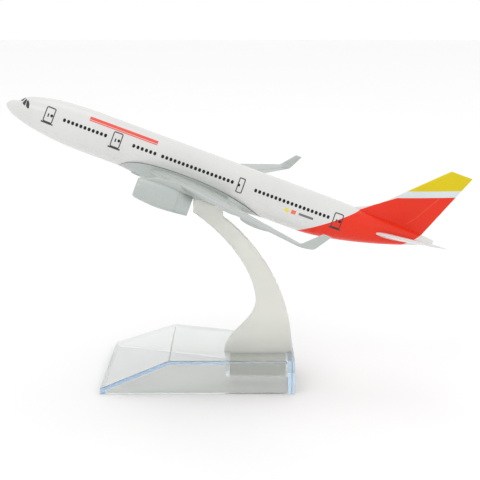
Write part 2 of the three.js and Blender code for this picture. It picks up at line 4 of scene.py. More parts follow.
import bmesh
import bpy
from bpy.props import FloatProperty, FloatVectorProperty, PointerProperty
from bpy.types import Operator, Panel, PropertyGroup
from mathutils import Matrix, Vector


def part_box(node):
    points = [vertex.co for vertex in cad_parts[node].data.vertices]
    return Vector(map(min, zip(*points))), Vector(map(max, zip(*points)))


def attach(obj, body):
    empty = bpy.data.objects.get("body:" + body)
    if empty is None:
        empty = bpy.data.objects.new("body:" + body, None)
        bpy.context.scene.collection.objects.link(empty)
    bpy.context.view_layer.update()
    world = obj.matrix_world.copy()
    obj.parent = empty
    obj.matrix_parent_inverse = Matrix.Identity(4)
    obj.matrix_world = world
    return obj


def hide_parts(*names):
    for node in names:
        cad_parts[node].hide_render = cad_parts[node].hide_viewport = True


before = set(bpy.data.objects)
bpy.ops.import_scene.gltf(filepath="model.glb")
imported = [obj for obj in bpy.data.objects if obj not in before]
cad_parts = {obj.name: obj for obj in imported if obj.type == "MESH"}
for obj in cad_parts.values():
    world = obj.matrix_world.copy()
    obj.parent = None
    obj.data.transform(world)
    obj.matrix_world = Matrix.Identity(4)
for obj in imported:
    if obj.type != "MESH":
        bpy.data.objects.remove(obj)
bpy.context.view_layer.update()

bl_info = {
    "name": "Desktop Airliner Model",
    "version": (1, 0, 0),
    "blender": (4, 5, 0),
    "location": "View3D > Sidebar > Airliner",
    "description": "Builds a twin-jet desk model on a curved arm in a clear base",
    "category": "Object",
}

MM = 0.001
AIRLINER = "airliner"
ARM = "arm"
STAND = "stand"
SIDES = ("left", "right")
WELD = 1e-4  # vertices nearer than this become one
FLAT = 1e-5  # edges shorter than this are dropped


# ---------------------------------------------------------------- sizes and colours


def length(name, millimetres, description):
    """A length property, given here in millimetres and held in metres."""
    return FloatProperty(
        name=name,
        description=description,
        default=millimetres * MM,
        unit="LENGTH",
        precision=5,
    )


def colour(name, value, description):
    return FloatVectorProperty(
        name=name,
        description=description,
        default=value,
        size=3,
        min=0.0,
        max=1.0,
        subtype="COLOR",
    )


class AirlinerSizes(PropertyGroup):
    """Lengths of the airliner, stations counted aft of the nose and heights from its axis."""

    body_length: length("Fuselage length", 160, "From the nose to the end of the tail cone")
    body_radius: length("Fuselage radius", 7.7, "Radius of the cabin")
    nose_length: length("Nose length", 34, "Length over which the nose tapers")
    nose_droop: length("Nose droop", 0.75, "How far the nose tip lies below the axis")
    tail_length: length("Tail length", 48, "Length over which the tail tapers")
    tail_end: length("Tail end radius", 0.9, "Radius of the end of the tail cone")
    crown_drop: length("Crown drop", 1.75, "Fall of the crown line over the tail")
    brow_depth: length("Brow depth", 0.9, "Hollow ahead of the windscreen")
    skin: length("Skin", 1.1, "Thickness of the fuselage shell")
    seam: length("Seam", 0.1, "Line between the two fuselage halves")
    gap: length("Gap", 0.3, "Line between the fairing and the fuselage")
    fairing_front: length("Fairing front", 44, "Station of the fairing's front point")
    fairing_rear: length("Fairing rear", 99, "Station of the fairing's rear point")
    fairing_depth: length("Fairing depth", 1.6, "How far the fairing stands below the cabin")
    fairing_side: length("Fairing side", 0.8, "How far the fairing stands out beside the cabin")
    root_span: length("Wing root", 7.5, "Half span at which the wing root is stated")
    kink_span: length("Wing kink", 26, "Half span of the kink in the trailing edge")
    tip_span: length("Wing tip", 75.5, "Half span at which the winglet starts to bend up")
    root_lead: length("Root leading edge", 55, "Station of the leading edge at the root")
    root_trail: length("Root trailing edge", 84.5, "Station of the trailing edge at the root")
    kink_trail: length("Kink trailing edge", 85.5, "Station of the trailing edge at the kink")
    winglet_height: length("Winglet height", 5, "Straight part of the winglet")
    winglet_bend: length("Winglet bend", 2.2, "Radius at which the winglet turns up")
    fin_tip: length("Fin tip", 31.6, "Height of the fin's tip")
    tailplane_span: length("Tailplane half span", 25, "From the centre line to the tip")
    engine_span: length("Engine span", 24.3, "From the centre line to the engine's axis")
    engine_height: length("Engine height", -8.146, "Height of the engine's axis")
    engine_front: length("Engine front", 53, "Station of the cowl's lip")
    engine_length: length("Cowl length", 19.5, "From the cowl's lip to its rear edge")
    engine_radius: length("Cowl radius", 4.25, "Largest radius of the cowl")


class StandSizes(PropertyGroup):
    """Lengths of the arm and the base, measured from the base's front edge and the floor."""

    base_length: length("Base length", 70.7, "From the front edge to the rear wall")
    base_height: length("Base height", 12.5, "Height of the flat top")
    base_lip: length("Front lip", 2, "Height of the front edge")
    base_slope: length("Slope", 25, "Length of the sloping front")
    near_side: length("Near side", 12, "From the arm's middle to the near wall")
    far_front: length("Far side, front", 43, "From the arm's middle to the far front corner")
    far_rear: length("Far side, rear", 18, "From the arm's middle to the far rear corner")
    top: length("Top plate", 1.6, "Thickness of the base's top")
    wall: length("Wall", 1.8, "Thickness of the base's side walls")
    rear_wall: length("Rear wall", 2.4, "Thickness of the base's rear wall")
    arm_thickness: length("Arm thickness", 4, "Thickness of the arm")
    arm_perch: length("Perch", 68.46, "Height of the belly over the middle of the tongue")
    tongue_station: length("Tongue station", 78.67, "Station along the fuselage over the tongue")
    tongue_width: length("Tongue width", 10.6, "Width of the tongue")
    tongue_depth: length("Tongue depth", 5.7, "How far the tongue reaches into the belly")


class Finishes(PropertyGroup):
    """Colours of the paints, plastics and metals."""

    white: colour("White", (0.715, 0.715, 0.70), "Gloss white of the fuselage and tailplane")
    silver: colour("Silver grey", (0.475, 0.51, 0.49), "Satin grey of wings, fairing and engines")
    red: colour("Red", (0.80, 0.032, 0.010), "Gloss red of the tail")
    yellow: colour("Yellow", (0.72, 0.57, 0.004), "Gloss yellow of the fin's top")
    band: colour("Band", (0.68, 0.74, 0.76), "Cool white of the band across the fin")
    ink: colour("Ink", (0.012, 0.012, 0.014), "Printed windows")
    line: colour("Line", (0.05, 0.05, 0.055), "Printed door outlines")
    stripe: colour("Stripe", (0.74, 0.10, 0.075), "Plain stripes behind the front door")
    metal: colour("Dark metal", (0.10, 0.105, 0.105), "Fans and exhausts")
    frosted: colour("Frosted plastic", (0.87, 0.875, 0.82), "The arm")
    clear: colour("Clear plastic", (0.995, 0.992, 0.965), "The base")


class StageSettings(PropertyGroup):
    """Camera, floor and light."""

    pitch: FloatProperty(
        name="Airliner pitch",
        description="Nose-up angle of the airliner on its arm",
        default=math.radians(20.4),
        subtype="ANGLE",
    )
    camera_place: FloatVectorProperty(
        name="Camera place",
        description="Where the camera stands, from the middle of the model on the floor",
        default=(-0.0005, -0.3895, 0.1422),
        size=3,
        subtype="TRANSLATION",
    )
    camera_dip: FloatProperty(
        name="Camera dip",
        description="How far the camera looks down",
        default=math.radians(12.68),
        subtype="ANGLE",
    )
    camera_lens: FloatProperty(
        name="Lens",
        description="Focal length on a 36 mm sensor",
        default=82.65,
        unit="CAMERA",
    )
    floor: colour("Floor", (0.96, 0.96, 0.96), "Plain pale floor")


def measures(group):
    """A group's lengths in millimetres."""
    names = type(group).__annotations__
    return SimpleNamespace(**{name: getattr(group, name) / MM for name in names})


# The blades' fixed forms: slopes, and millimetres where a thickness, station or height is meant.
WING = SimpleNamespace(sweep=0.7165, trail_sweep=0.4713, dihedral=0.0955, height=-4.3)
WING_THICKNESS = (3.6, 2.2, 0.95)  # at the root, the kink and the tip
WINGLET = SimpleNamespace(cant=20.0, sweep=0.85, tip_chord=2.6, thickness=0.75)
FLAP_TRACK = SimpleNamespace(spans=(19, 33, 49), half=(6.3, 0.85, 1.25), drop=1.1, forward=2)
FIN = SimpleNamespace(
    foot=5.0,
    crown=7.0,
    lead=131.9,
    sweep=1.0,
    trail=155.4,
    trail_sweep=0.3745,
    fillet_foot=6.5,
    fillet_top=13.0,
    fillet_length=5.5,
    root=2.0,
    tip=0.9,
)
TAILPLANE = SimpleNamespace(
    lead=138.5,
    trail=155.4,
    root_span=5.0,
    buried=1.0,
    sweep=0.7,
    trail_sweep=0.22,
    height=2.0,
    incidence=0.105,
    dihedral=0.2126,
    root=1.8,
    tip=0.8,
)
# Places in the stand, in millimetres ahead of the base's rear wall and over the floor.
TONGUE_MIDDLE = 31.4
TENON = SimpleNamespace(front=23.6, rear=3.0, low=3.9)
SOCKET_WALL = 1.2
# The fairing's screws: half their spacing, and the radii of boss, head and shank.
SCREW = SimpleNamespace(aside=2.6, boss=2.3, head=1.55, shank=0.95)
# Planes between two paints, as a point and the way to the second paint.
RED_LINE = ((112.0, 0.0, -7.0), Vector((0.77, 0.0, -1.0)))
CONE_LINE = ((150.1, 0.0, 1.4), Vector((1.0, 0.0, -0.97)))
BAND_UP = Vector((-0.374, 0.0, 1.0))
BAND_LINE, YELLOW_LINE = ((150.0, 0.0, 19.0), BAND_UP), ((143.5, 0.0, 19.1), BAND_UP)
FLAT_SIDED = 5.0  # degrees: every edge sharper than this stays crisp
FLOOR_DROP = 0.00012  # metres
FLOOR_SIZE = 6.0  # metres


# ---------------------------------------------------------------- placing


def settings():
    """The property groups, lengths in millimetres."""
    scene = bpy.context.scene
    air = measures(scene.airliner_sizes)
    stand = measures(scene.stand_sizes)
    return air, stand, scene.airliner_finishes, scene.airliner_stage


def stand_origin(stand):
    """The floor under the base's front edge, on the arm's middle plane, in millimetres."""
    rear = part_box("stand_base")[1][0] / MM
    return Vector((rear - stand.base_length, 0.0, 0.0))


def airliner_matrix():
    """Takes the airliner's own millimetres to metres in the row frame."""
    air, stand, _, stage = settings()
    turn = Matrix.Rotation(stage.pitch, 4, "Y")
    tongue = Vector((stand.base_length - TONGUE_MIDDLE, 0.0, stand.arm_perch))
    perch = stand_origin(stand) + tongue
    belly = Vector((stand.tongue_station, 0.0, -air.body_radius - air.fairing_depth))
    shift = Matrix.Translation(perch - turn @ belly)
    return Matrix.Scale(MM, 4) @ shift @ turn


def stand_matrix():
    """Takes the stand's own millimetres to metres in the row frame."""
    _, stand, _, _ = settings()
    return Matrix.Scale(MM, 4) @ Matrix.Translation(stand_origin(stand))


def lerp(low, high, share):
    return low + (high - low) * share


def ramp(value, low, high):
    """A smooth step from 0 at low to 1 at high."""
    share = min(max((value - low) / (high - low), 0.0), 1.0)
    return share * share * (3.0 - 2.0 * share)


def curve_through(points, count):
    """Points on a smooth curve through the given ones."""
    out = []
    last = len(points) - 1
    for index in range(count + 1):
        place = index / count * last
        knot = min(int(place), last - 1)
        t = place - knot
        p0 = points[max(knot - 1, 0)]
        p1, p2 = points[knot], points[knot + 1]
        p3 = points[min(knot + 2, last)]
        out.append(tuple(
            0.5
            * (
                2 * b
                + (c - a) * t
                + (2 * a - 5 * b + 4 * c - d) * t**2
                + (3 * b - a - 3 * c + d) * t**3
            )
            for a, b, c, d in zip(p0, p1, p2, p3)
        ))
    return out


def bezier(start, first, second, end, count):
    """Points on a cubic Bezier curve, the start left out."""
    out = []
    for index in range(1, count + 1):
        t = index / count
        u = 1.0 - t
        out.append(tuple(
            u**3 * a + 3 * u * u * t * b + 3 * u * t * t * c + t**3 * d
            for a, b, c, d in zip(start, first, second, end)
        ))
    return out


# ---------------------------------------------------------------- mesh helpers


def weld(bm):
    """Joins the vertices that fall together."""
    bmesh.ops.remove_doubles(bm, verts=bm.verts, dist=WELD)
    bmesh.ops.dissolve_degenerate(bm, edges=bm.edges, dist=FLAT)


def new_verts(made):
    """The vertices that a bmesh operator made."""
    return [item for item in made["geom"] if isinstance(item, bmesh.types.BMVert)]


def sheet(columns, rows, place):
    """A grid of faces, its corners moved to place(column share, row share)."""
    bm = bmesh.new()
    bmesh.ops.create_grid(bm, x_segments=columns, y_segments=rows, size=1.0)
    for vert in bm.verts:
        vert.co = place((vert.co.x + 1.0) / 2.0, (vert.co.y + 1.0) / 2.0)
    weld(bm)
    return bm


def loft(rings, sides, place):
    """A closed skin through rings; place(ring, share) gives a point, share running round it."""
    last = len(rings) - 1
    bm = sheet(last, sides, lambda along, share: place(rings[round(along * last)], share))
    bmesh.ops.recalc_face_normals(bm, faces=bm.faces)
    return bm


def turned(profile, steps, closed=True):
    """A profile of (station, radius) points spun about the station axis."""
    bm = bmesh.new()
    verts = [bm.verts.new((station, 0.0, radius)) for station, radius in profile]
    edges = [bm.edges.new(pair) for pair in zip(verts, verts[1:])]
    if closed:
        edges.append(bm.edges.new((verts[-1], verts[0])))
    bmesh.ops.spin(
        bm,
        geom=verts + edges,
        cent=(0.0, 0.0, 0.0),
        axis=(1.0, 0.0, 0.0),
        angle=2.0 * math.pi,
        steps=steps,
        use_merge=True,
    )
    weld(bm)
    bmesh.ops.recalc_face_normals(bm, faces=bm.faces)
    return bm


def plate(points, low, high, bevel=0.0, segments=3):
    """A flat outline, given as (x, z) points, extruded from y = low to y = high."""
    bm = bmesh.new()
    face = bm.faces.new([bm.verts.new((x, low, z)) for x, z in points])
    made = bmesh.ops.extrude_face_region(bm, geom=[face])
    bmesh.ops.translate(bm, verts=new_verts(made), vec=(0.0, high - low, 0.0))
    bmesh.ops.recalc_face_normals(bm, faces=bm.faces)
    if bevel:
        rims = [edge for edge in bm.edges if abs(edge.verts[0].co.y - edge.verts[1].co.y) < 1e-6]
        round_off(bm, rims, bevel, segments)
    return bm


def round_off(bm, edges, width, segments=3):
    bmesh.ops.bevel(
        bm,
        geom=edges,
        offset=width,
        offset_type="OFFSET",
        affect="EDGES",
        segments=segments,
        profile=0.5,
        material=-1,
        clamp_overlap=True,
    )


def block(low, high):
    """A box between two corners."""
    bm = bmesh.new()
    bmesh.ops.create_cube(bm, size=1.0)
    low, high = Vector(low), Vector(high)
    bmesh.ops.scale(bm, vec=high - low, verts=bm.verts)
    bmesh.ops.translate(bm, vec=(high + low) / 2.0, verts=bm.verts)
    return bm


def round_bar(x, y, radius, low, high, sides=40):
    """An upright round bar."""
    bm = bmesh.new()
    bmesh.ops.create_cone(
        bm, cap_ends=True, segments=sides, radius1=radius, radius2=radius, depth=high - low
    )
    bmesh.ops.translate(bm, vec=(x, y, (low + high) / 2.0), verts=bm.verts)
    return bm


def gather(*parts):
    """One mesh from several."""
    whole = bmesh.new()
    for part in parts:
        mesh = bpy.data.meshes.new("part")
        part.to_mesh(mesh)
        whole.from_mesh(mesh)
        bpy.data.meshes.remove(mesh)
        part.free()
    return whole


def sided(bm, side):
    """A shape made on the right: left as it is there, and mirrored for the left."""
    if side == "left":
        bmesh.ops.scale(bm, vec=(1.0, -1.0, 1.0), verts=bm.verts)
        bmesh.ops.reverse_faces(bm, faces=bm.faces)
    return bm


def combine(bm, other, how):
    """The boolean of two meshes, as a new one."""
    objects = []
    for part in (bm, other):
        mesh = bpy.data.meshes.new("boolean")
        part.to_mesh(mesh)
        part.free()
        made = bpy.data.objects.new("boolean", mesh)
        bpy.context.scene.collection.objects.link(made)
        objects.append(made)
    modifier = objects[0].modifiers.new("boolean", "BOOLEAN")
    modifier.operation = how
    modifier.solver = "EXACT"
    modifier.use_self = True
    modifier.object = objects[1]
    bpy.context.view_layer.update()
    result = objects[0].evaluated_get(bpy.context.evaluated_depsgraph_get())
    out = bmesh.new()
    out.from_mesh(result.to_mesh())
    result.to_mesh_clear()
    for made in objects:
        mesh = made.data
        bpy.data.objects.remove(made)
        bpy.data.meshes.remove(mesh)
    bmesh.ops.remove_doubles(out, verts=out.verts, dist=WELD)
    return out


def colour_beyond(bm, line, index):
    """Splits the faces along a plane and gives those beyond it another material."""
    point, normal = line
    geometry = bm.verts[:] + bm.edges[:] + bm.faces[:]
    bmesh.ops.bisect_plane(bm, geom=geometry, dist=FLAT, plane_co=point, plane_no=normal)
    for face in bm.faces:
        if (face.calc_center_median() - Vector(point)).dot(normal) > 0.0:
            face.material_index = index


def settle(name, bm, matrix, body, finishes, nodes=(), sharp=32.0):
    """Makes the finished object: places the mesh, and says what it rides on and stands for."""
    bm.transform(matrix)
    mesh = bpy.data.meshes.new(name)
    bm.to_mesh(mesh)
    bm.free()
    for finish_name in finishes:
        mesh.materials.append(finish(finish_name))
    mesh.shade_smooth()
    mesh.set_sharp_from_angle(angle=math.radians(sharp))
    piece = bpy.data.objects.new(name, mesh)
    bpy.context.scene.collection.objects.link(piece)
    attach(piece, body)
    if nodes:
        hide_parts(*nodes)
    return piece


# ---------------------------------------------------------------- materials


def nodes_of(name):
    material = bpy.data.materials.new(name)
    material.use_nodes = True
    tree = material.node_tree
    return material, tree, tree.nodes["Principled BSDF"]


def noise(tree, scale, detail=3.0):
    """A noise on the object's own coordinates; scale counts features per metre."""
    place = tree.nodes.new("ShaderNodeTexCoord")
    texture = tree.nodes.new("ShaderNodeTexNoise")
    texture.inputs["Scale"].default_value = scale
    texture.inputs["Detail"].default_value = detail
    tree.links.new(place.outputs["Object"], texture.inputs["Vector"])
    return texture.outputs["Fac"]


def spread(tree, factor, low, high):
    """Maps a noise, which stays near its middle, to low .. high."""
    node = tree.nodes.new("ShaderNodeMapRange")
    node.inputs["From Min"].default_value = 0.3
    node.inputs["From Max"].default_value = 0.7
    node.inputs["To Min"].default_value = low
    node.inputs["To Max"].default_value = high
    tree.links.new(factor, node.inputs["Value"])
    return node.outputs["Result"]


def blend_colours(tree, factor, first, second):
    node = tree.nodes.new("ShaderNodeMix")
    node.data_type = "RGBA"
    node.inputs["A"].default_value = (*first, 1.0)
    node.inputs["B"].default_value = (*second, 1.0)
    tree.links.new(factor, node.inputs["Factor"])
    return node.outputs["Result"]


def tone(value, factor):
    return tuple(min(max(channel * factor, 0.0), 1.0) for channel in value)


def roughen(tree, shader, height, strength, distance):
    bump = tree.nodes.new("ShaderNodeBump")
    bump.inputs["Strength"].default_value = strength
    bump.inputs["Distance"].default_value = distance
    tree.links.new(height, bump.inputs["Height"])
    tree.links.new(bump.outputs["Normal"], shader.inputs["Normal"])


def surface(name, colours, mottle, gloss=None, ripple=None, values=None):
    """A material that mixes two colours by a noise, as (scale, detail).

    The gloss adds (scale, detail, lowest, highest) roughness, the ripple a bump as
    (scale, detail, strength, distance), and values are set on the shader's sockets.
    """
    material, tree, shader = nodes_of(name)
    cloud = spread(tree, noise(tree, *mottle), 0.0, 1.0)
    tree.links.new(blend_colours(tree, cloud, *colours), shader.inputs["Base Color"])
    if gloss:
        scale, detail, low, high = gloss
        uneven = spread(tree, noise(tree, scale, detail), low, high)
        tree.links.new(uneven, shader.inputs["Roughness"])
    if ripple:
        scale, detail, strength, distance = ripple
        roughen(tree, shader, noise(tree, scale, detail), strength, distance)
    for socket, value in (values or {}).items():
        shader.inputs[socket].default_value = value
    return material


def shades(value, dark, light):
    return tone(value, dark), tone(value, light)


def gloss_paint(name, value, rough=0.24, shine=0.5):
    """Sprayed enamel: thin mottling, slightly uneven gloss and the ripple of sprayed paint."""
    return surface(
        name,
        shades(value, 0.965, 1.025),
        mottle=(60.0, 4.0),
        gloss=(220.0, 3.0, rough - 0.05, rough + 0.07),
        ripple=(1400.0, 2.0, 0.02, 0.00004),
        values={
            "Specular IOR Level": shine,
            "Coat Weight": 0.6 * shine - 0.1,
            "Coat Roughness": 0.09,
        },
    )


def satin_silver(name, value):
    """Satin grey paint with a fine metallic fleck."""
    return surface(
        name,
        shades(value, 0.93, 1.07),
        mottle=(4200.0, 2.0),
        gloss=(180.0, 3.0, 0.33, 0.45),
        ripple=(2600.0, 2.0, 0.06, 0.00005),
        values={"Metallic": 0.22, "Coat Weight": 0.15, "Coat Roughness": 0.2},
    )


def print_and_highlight_ink(name, value):
    """Pad-printed ink, a little duller than the paint, with thin spots; the same recipe also gives
    the rudder's painted highlight.
    """
    lighter = tuple(min(channel * 1.25 + 0.006, 1.0) for channel in value)
    return surface(
        name,
        (value, lighter),
        mottle=(1800.0, 3.0),
        gloss=(900.0, 2.0, 0.3, 0.42),
        values={"Specular IOR Level": 0.15},
    )


def dark_metal(name, value):
    """Dark plated metal with fine turning marks."""
    return surface(
        name,
        shades(value, 0.75, 1.35),
        mottle=(700.0, 4.0),
        gloss=(1500.0, 2.0, 0.32, 0.5),
        values={"Metallic": 0.7},
    )


def bright_steel(name):
    return surface(
        name,
        ((0.42, 0.42, 0.43), (0.62, 0.62, 0.63)),
        mottle=(1400.0, 4.0),
        gloss=(2400.0, 2.0, 0.2, 0.4),
        values={"Metallic": 0.95},
    )


def frosted_plastic(name, value):
    """Acrylic with sanded faces: light spreads inside it and its grain shows up close."""
    return surface(
        name,
        shades(value, 0.97, 1.03),
        mottle=(90.0, 4.0),
        gloss=(1600.0, 3.0, 0.42, 0.58),
        ripple=(5200.0, 2.0, 0.12, 0.00004),
        values={
            "IOR": 1.49,
            "Subsurface Weight": 0.35,
            "Subsurface Radius": (1.0, 1.0, 0.9),
            "Subsurface Scale": 0.004,
            "Transmission Weight": 0.4,
        },
    )


def clear_plastic(name, value, density):
    """Polished clear plastic, with a pale blue cast where the eye looks along a wall."""
    material = surface(
        name,
        shades(value, 0.985, 1.01),
        mottle=(40.0, 3.0),
        gloss=(300.0, 3.0, 0.015, 0.05),
        values={
            "IOR": 1.3,
            "Transmission Weight": 0.93,
            "Coat Weight": 0.6,
            "Coat IOR": 1.49,
            "Coat Roughness": 0.03,
        },
    )
    tree = material.node_tree
    soak = tree.nodes.new("ShaderNodeVolumeAbsorption")
    soak.inputs["Color"].default_value = (0.50, 0.74, 0.95, 1.0)
    soak.inputs["Density"].default_value = density
    tree.links.new(soak.outputs["Volume"], tree.nodes["Material Output"].inputs["Volume"])
    return material


def floor_paint(name, value):
    return surface(
        name,
        (tone(value, 0.995), value),
        mottle=(3.0, 2.0),
        values={"Roughness": 0.9, "Specular IOR Level": 0.1},
    )


MATERIALS = {}


def finish(name):
    """The material of that name, made once."""
    if name not in MATERIALS:
        colours = bpy.context.scene.airliner_finishes
        makers = {
            "white_enamel": lambda: gloss_paint(name, colours.white),
            "red_enamel": lambda: gloss_paint(name, colours.red, 0.28, 0.25),
            "yellow_enamel": lambda: gloss_paint(name, colours.yellow, 0.28, 0.25),
            "band_enamel": lambda: gloss_paint(name, colours.band, 0.26),
            "silver_paint": lambda: satin_silver(name, colours.silver),
            "groove_paint": lambda: print_and_highlight_ink(name, tone(colours.silver, 0.55)),
            # Lighter red than the tail's paint: a painted highlight along the rudder's hinge line.
            "rudder_hinge_highlight": lambda: print_and_highlight_ink(name, (0.82, 0.12, 0.07)),
            "window_ink": lambda: print_and_highlight_ink(name, colours.ink),
            "door_ink": lambda: print_and_highlight_ink(name, colours.line),
            "stripe_ink": lambda: print_and_highlight_ink(name, colours.stripe),
            "plate_ink": lambda: print_and_highlight_ink(name, (0.16, 0.16, 0.17)),
            "patch_yellow": lambda: print_and_highlight_ink(name, (0.72, 0.62, 0.14)),
            "patch_red": lambda: print_and_highlight_ink(name, (0.78, 0.16, 0.10)),
            "pane_ink": lambda: print_and_highlight_ink(name, (0.05, 0.052, 0.055)),
            "dark_metal": lambda: dark_metal(name, colours.metal),
            "screw_steel": lambda: bright_steel(name),
            "frosted_acrylic": lambda: frosted_plastic(name, colours.frosted),
            "clear_acrylic": lambda: clear_plastic(name, colours.clear, 34.0),
            "floor": lambda: floor_paint(name, bpy.context.scene.airliner_stage.floor),
        }
        MATERIALS[name] = makers[name]()
    return MATERIALS[name]


# ---------------------------------------------------------------- the fuselage's surface


def body_radius(air, station):
    if station < air.nose_length:
        ahead = 1.0 - max(station, 0.0) / air.nose_length
        return air.body_radius * (1.0 - ahead**2.4) ** 0.6
    tail_start = air.body_length - air.tail_length
    aft = min(max((station - tail_start) / air.tail_length, 0.0), 1.0)
    return air.body_radius - (air.body_radius - air.tail_end) * aft**1.6


def body_centre(air, station):
    tail_start = air.body_length - air.tail_length
    aft = max((station - tail_start) / air.tail_length, 0.0)
    if aft > 0.0:
        return air.body_radius - air.crown_drop * aft**2 - body_radius(air, station)
    ahead = max(1.0 - 2.0 * station / air.nose_length, 0.0)
    return -air.nose_droop * ahead**2


def brow(air, station, up):
    """How far the upper nose is hollowed at the foot of the windscreen."""
    return air.brow_depth * math.exp(-(((station - 3.6) / 1.7) ** 2)) * max(up, 0.0) ** 1.5


def body_point(air, station, turn, radius):
    """A point at a turn from the crown, 0, through the right side to the keel, pi."""
    up = math.cos(turn)
    sunk = brow(air, station, up) * min(radius / 2.0, 1.0)
    height = body_centre(air, station) + radius * up - sunk
    return Vector((station, radius * math.sin(turn), height))


def skin_point(air, station, height, lift):
    """The point of the right side at a height, lifted off the surface."""
    radius = body_radius(air, station) + lift
    low, high = 0.0, math.pi
    for _ in range(32):
        turn = (low + high) / 2.0
        if body_point(air, station, turn, radius).z > height:
            low = turn
        else:
            high = turn
    return body_point(air, station, turn, radius)


def seam_points(air):
    """The fairing's curved upper edge as (station, height) points."""
    front, rear = air.fairing_front, air.fairing_rear
    foot, top = -air.body_radius, 6.0 - air.body_radius
    middle = (front + rear) / 2.0 - 3.5
    rise = bezier(
        (front, foot), (front + 2.0, foot + 4.7), (front + 10.0, top), (middle, top), 160
    )
    fall = bezier(
        (middle, top), (middle + 14.0, top), (rear - 8.0, top - 2.3), (rear, foot), 160
    )
    return [(front, foot)] + rise + fall


def seam_height(points, station):
    """The height of the fairing's edge at a station, or None ahead of it and behind it."""
    if not points[0][0] < station < points[-1][0]:
        return None
    for (x0, z0), (x1, z1) in zip(points, points[1:]):
        if station <= x1:
            return lerp(z0, z1, (station - x0) / max(x1 - x0, 1e-9))
    return points[-1][1]


def body_stations(air):
    nose = [air.nose_length * (1.0 - math.cos(i / 40 * math.pi / 2.0)) for i in range(41)]
    front, rear = air.fairing_front, air.fairing_rear
    tail_start = air.body_length - air.tail_length
    waist = [lerp(front, rear, 0.5 - 0.5 * math.cos(i / 110 * math.pi)) for i in range(1, 111)]
    stations = nose + [lerp(air.nose_length, front, (i + 1) / 8) for i in range(8)] + waist
    for start, end, steps in ((rear, tail_start, 10), (tail_start, air.body_length - 0.3, 44)):
        stations = stations + [lerp(start, end, (i + 1) / steps) for i in range(steps)]
    return stations


def livery(bm):
    """Red aft of a sloping straight line, and white again on the tail cone."""
    colour_beyond(bm, RED_LINE, 1)
    colour_beyond(bm, CONE_LINE, 0)


# ---------------------------------------------------------------- blades


def aerofoil(along):
    """Half thickness of a symmetrical section, 0 at its leading edge, up to 1 and back to 0."""
    curve = -0.126 * along - 0.3516 * along**2 + 0.2843 * along**3 - 0.1036 * along**4
    return max(10.0 * (0.2969 * math.sqrt(along) + curve), 0.0)


def section_point(station, along, side, lift=0.0):
    """A point of a blade's section: side is 1 on its upper face and -1 on its lower one."""
    half = side * (station.thickness / 2.0 * aerofoil(along) + lift)
    x = lerp(station.lead, station.trail, along)
    y = station.span - half * math.sin(station.lean)
    z = station.height + half * math.cos(station.lean)
    return Vector((x, y, z + station.tilt(x, y)))


def section(lead, trail, height, span, lean, thickness, tilt=lambda x, y: 0.0):
    return SimpleNamespace(
        lead=lead,
        trail=trail,
        height=height,
        span=span,
        lean=lean,
        thickness=thickness,
        tilt=tilt,
    )


def between(first, second, share):
    names = ("lead", "trail", "height", "span", "lean", "thickness")
    values = {name: lerp(getattr(first, name), getattr(second, name), share) for name in names}
    return section(**values, tilt=first.tilt)


def rounded_tip(stations, reach):
    """The last sections, drawn in over reach so that the tip is round."""
    inner, tip = stations[-2], stations[-1]
    gap = math.hypot(tip.span - inner.span, tip.height - inner.height)
    steps = 6
    out = list(stations[:-1])
    for index in range(steps + 1):
        angle = index / steps * math.pi / 2.0
        near = between(inner, tip, 1.0 - reach * (1.0 - math.sin(angle)) / gap)
        near.thickness *= math.cos(angle)
        shrink = 0.35 * reach * (1.0 - math.cos(angle))
        near.lead += shrink
        near.trail -= shrink
        out.append(near)
    return out


def blade(stations, sides=56):
    """A closed blade through its sections, its root end closed flat."""
    root = between(stations[0], stations[1], 0.0)
    root.thickness = 0.0
    rings = [root] + stations

    def place(ring, share):
        angle = 2.0 * math.pi * share
        side = 1.0 if share < 0.5 else -1.0
        return section_point(ring, (1.0 - math.cos(angle)) / 2.0, side)

    return loft(rings, sides, place)


def wing_lead(air, span):
    return air.root_lead + WING.sweep * (span - air.root_span)


def wing_trail(air, span):
    inner = (span - air.root_span) / (air.kink_span - air.root_span)
    if inner < 1.0:
        return lerp(air.root_trail, air.kink_trail, inner)
    return air.kink_trail + WING.trail_sweep * (span - air.kink_span)


def wing_height(air, span):
    return WING.height + WING.dihedral * (span - air.root_span)


def wing_thickness(air, span):
    root, kink, tip = WING_THICKNESS
    if span < air.kink_span:
        return lerp(root, kink, (span - air.root_span) / (air.kink_span - air.root_span))
    return lerp(kink, tip, (span - air.kink_span) / (air.tip_span - air.kink_span))


def wing_section(air, span):
    return section(
        wing_lead(air, span),
        wing_trail(air, span),
        wing_height(air, span),
        span,
        math.atan(WING.dihedral),
        wing_thickness(air, span),
    )


def wing_sections(air):
    inner = [lerp(air.root_span - 0.6, air.kink_span, i / 10) for i in range(11)]
    outer = [lerp(air.kink_span, air.tip_span, i / 20) for i in range(1, 21)]
    stations = [wing_section(air, span) for span in inner + outer]
    tip = stations[-1]
    upright = math.radians(90.0 - WINGLET.cant) - tip.lean
    arc = air.winglet_bend * upright
    total = arc + air.winglet_height
    steps, straights = 12, 6
    for index in range(1, steps + straights + 1):
        bent = min(index / steps, 1.0) * upright
        straight = max(index - steps, 0) / straights * air.winglet_height
        travelled = air.winglet_bend * bent + straight
        turn = tip.lean + bent
        lead = tip.lead + WINGLET.sweep * travelled
        chord = lerp(tip.trail - tip.lead, WINGLET.tip_chord, travelled / total)
        rise = air.winglet_bend * (math.cos(tip.lean) - math.cos(turn))
        reach = air.winglet_bend * (math.sin(turn) - math.sin(tip.lean))
        stations.append(section(
            lead,
            lead + chord,
            tip.height + rise + straight * math.sin(turn),
            tip.span + reach + straight * math.cos(turn),
            turn,
            lerp(tip.thickness, WINGLET.thickness, travelled / total),
        ))
    return rounded_tip(stations, 0.35)


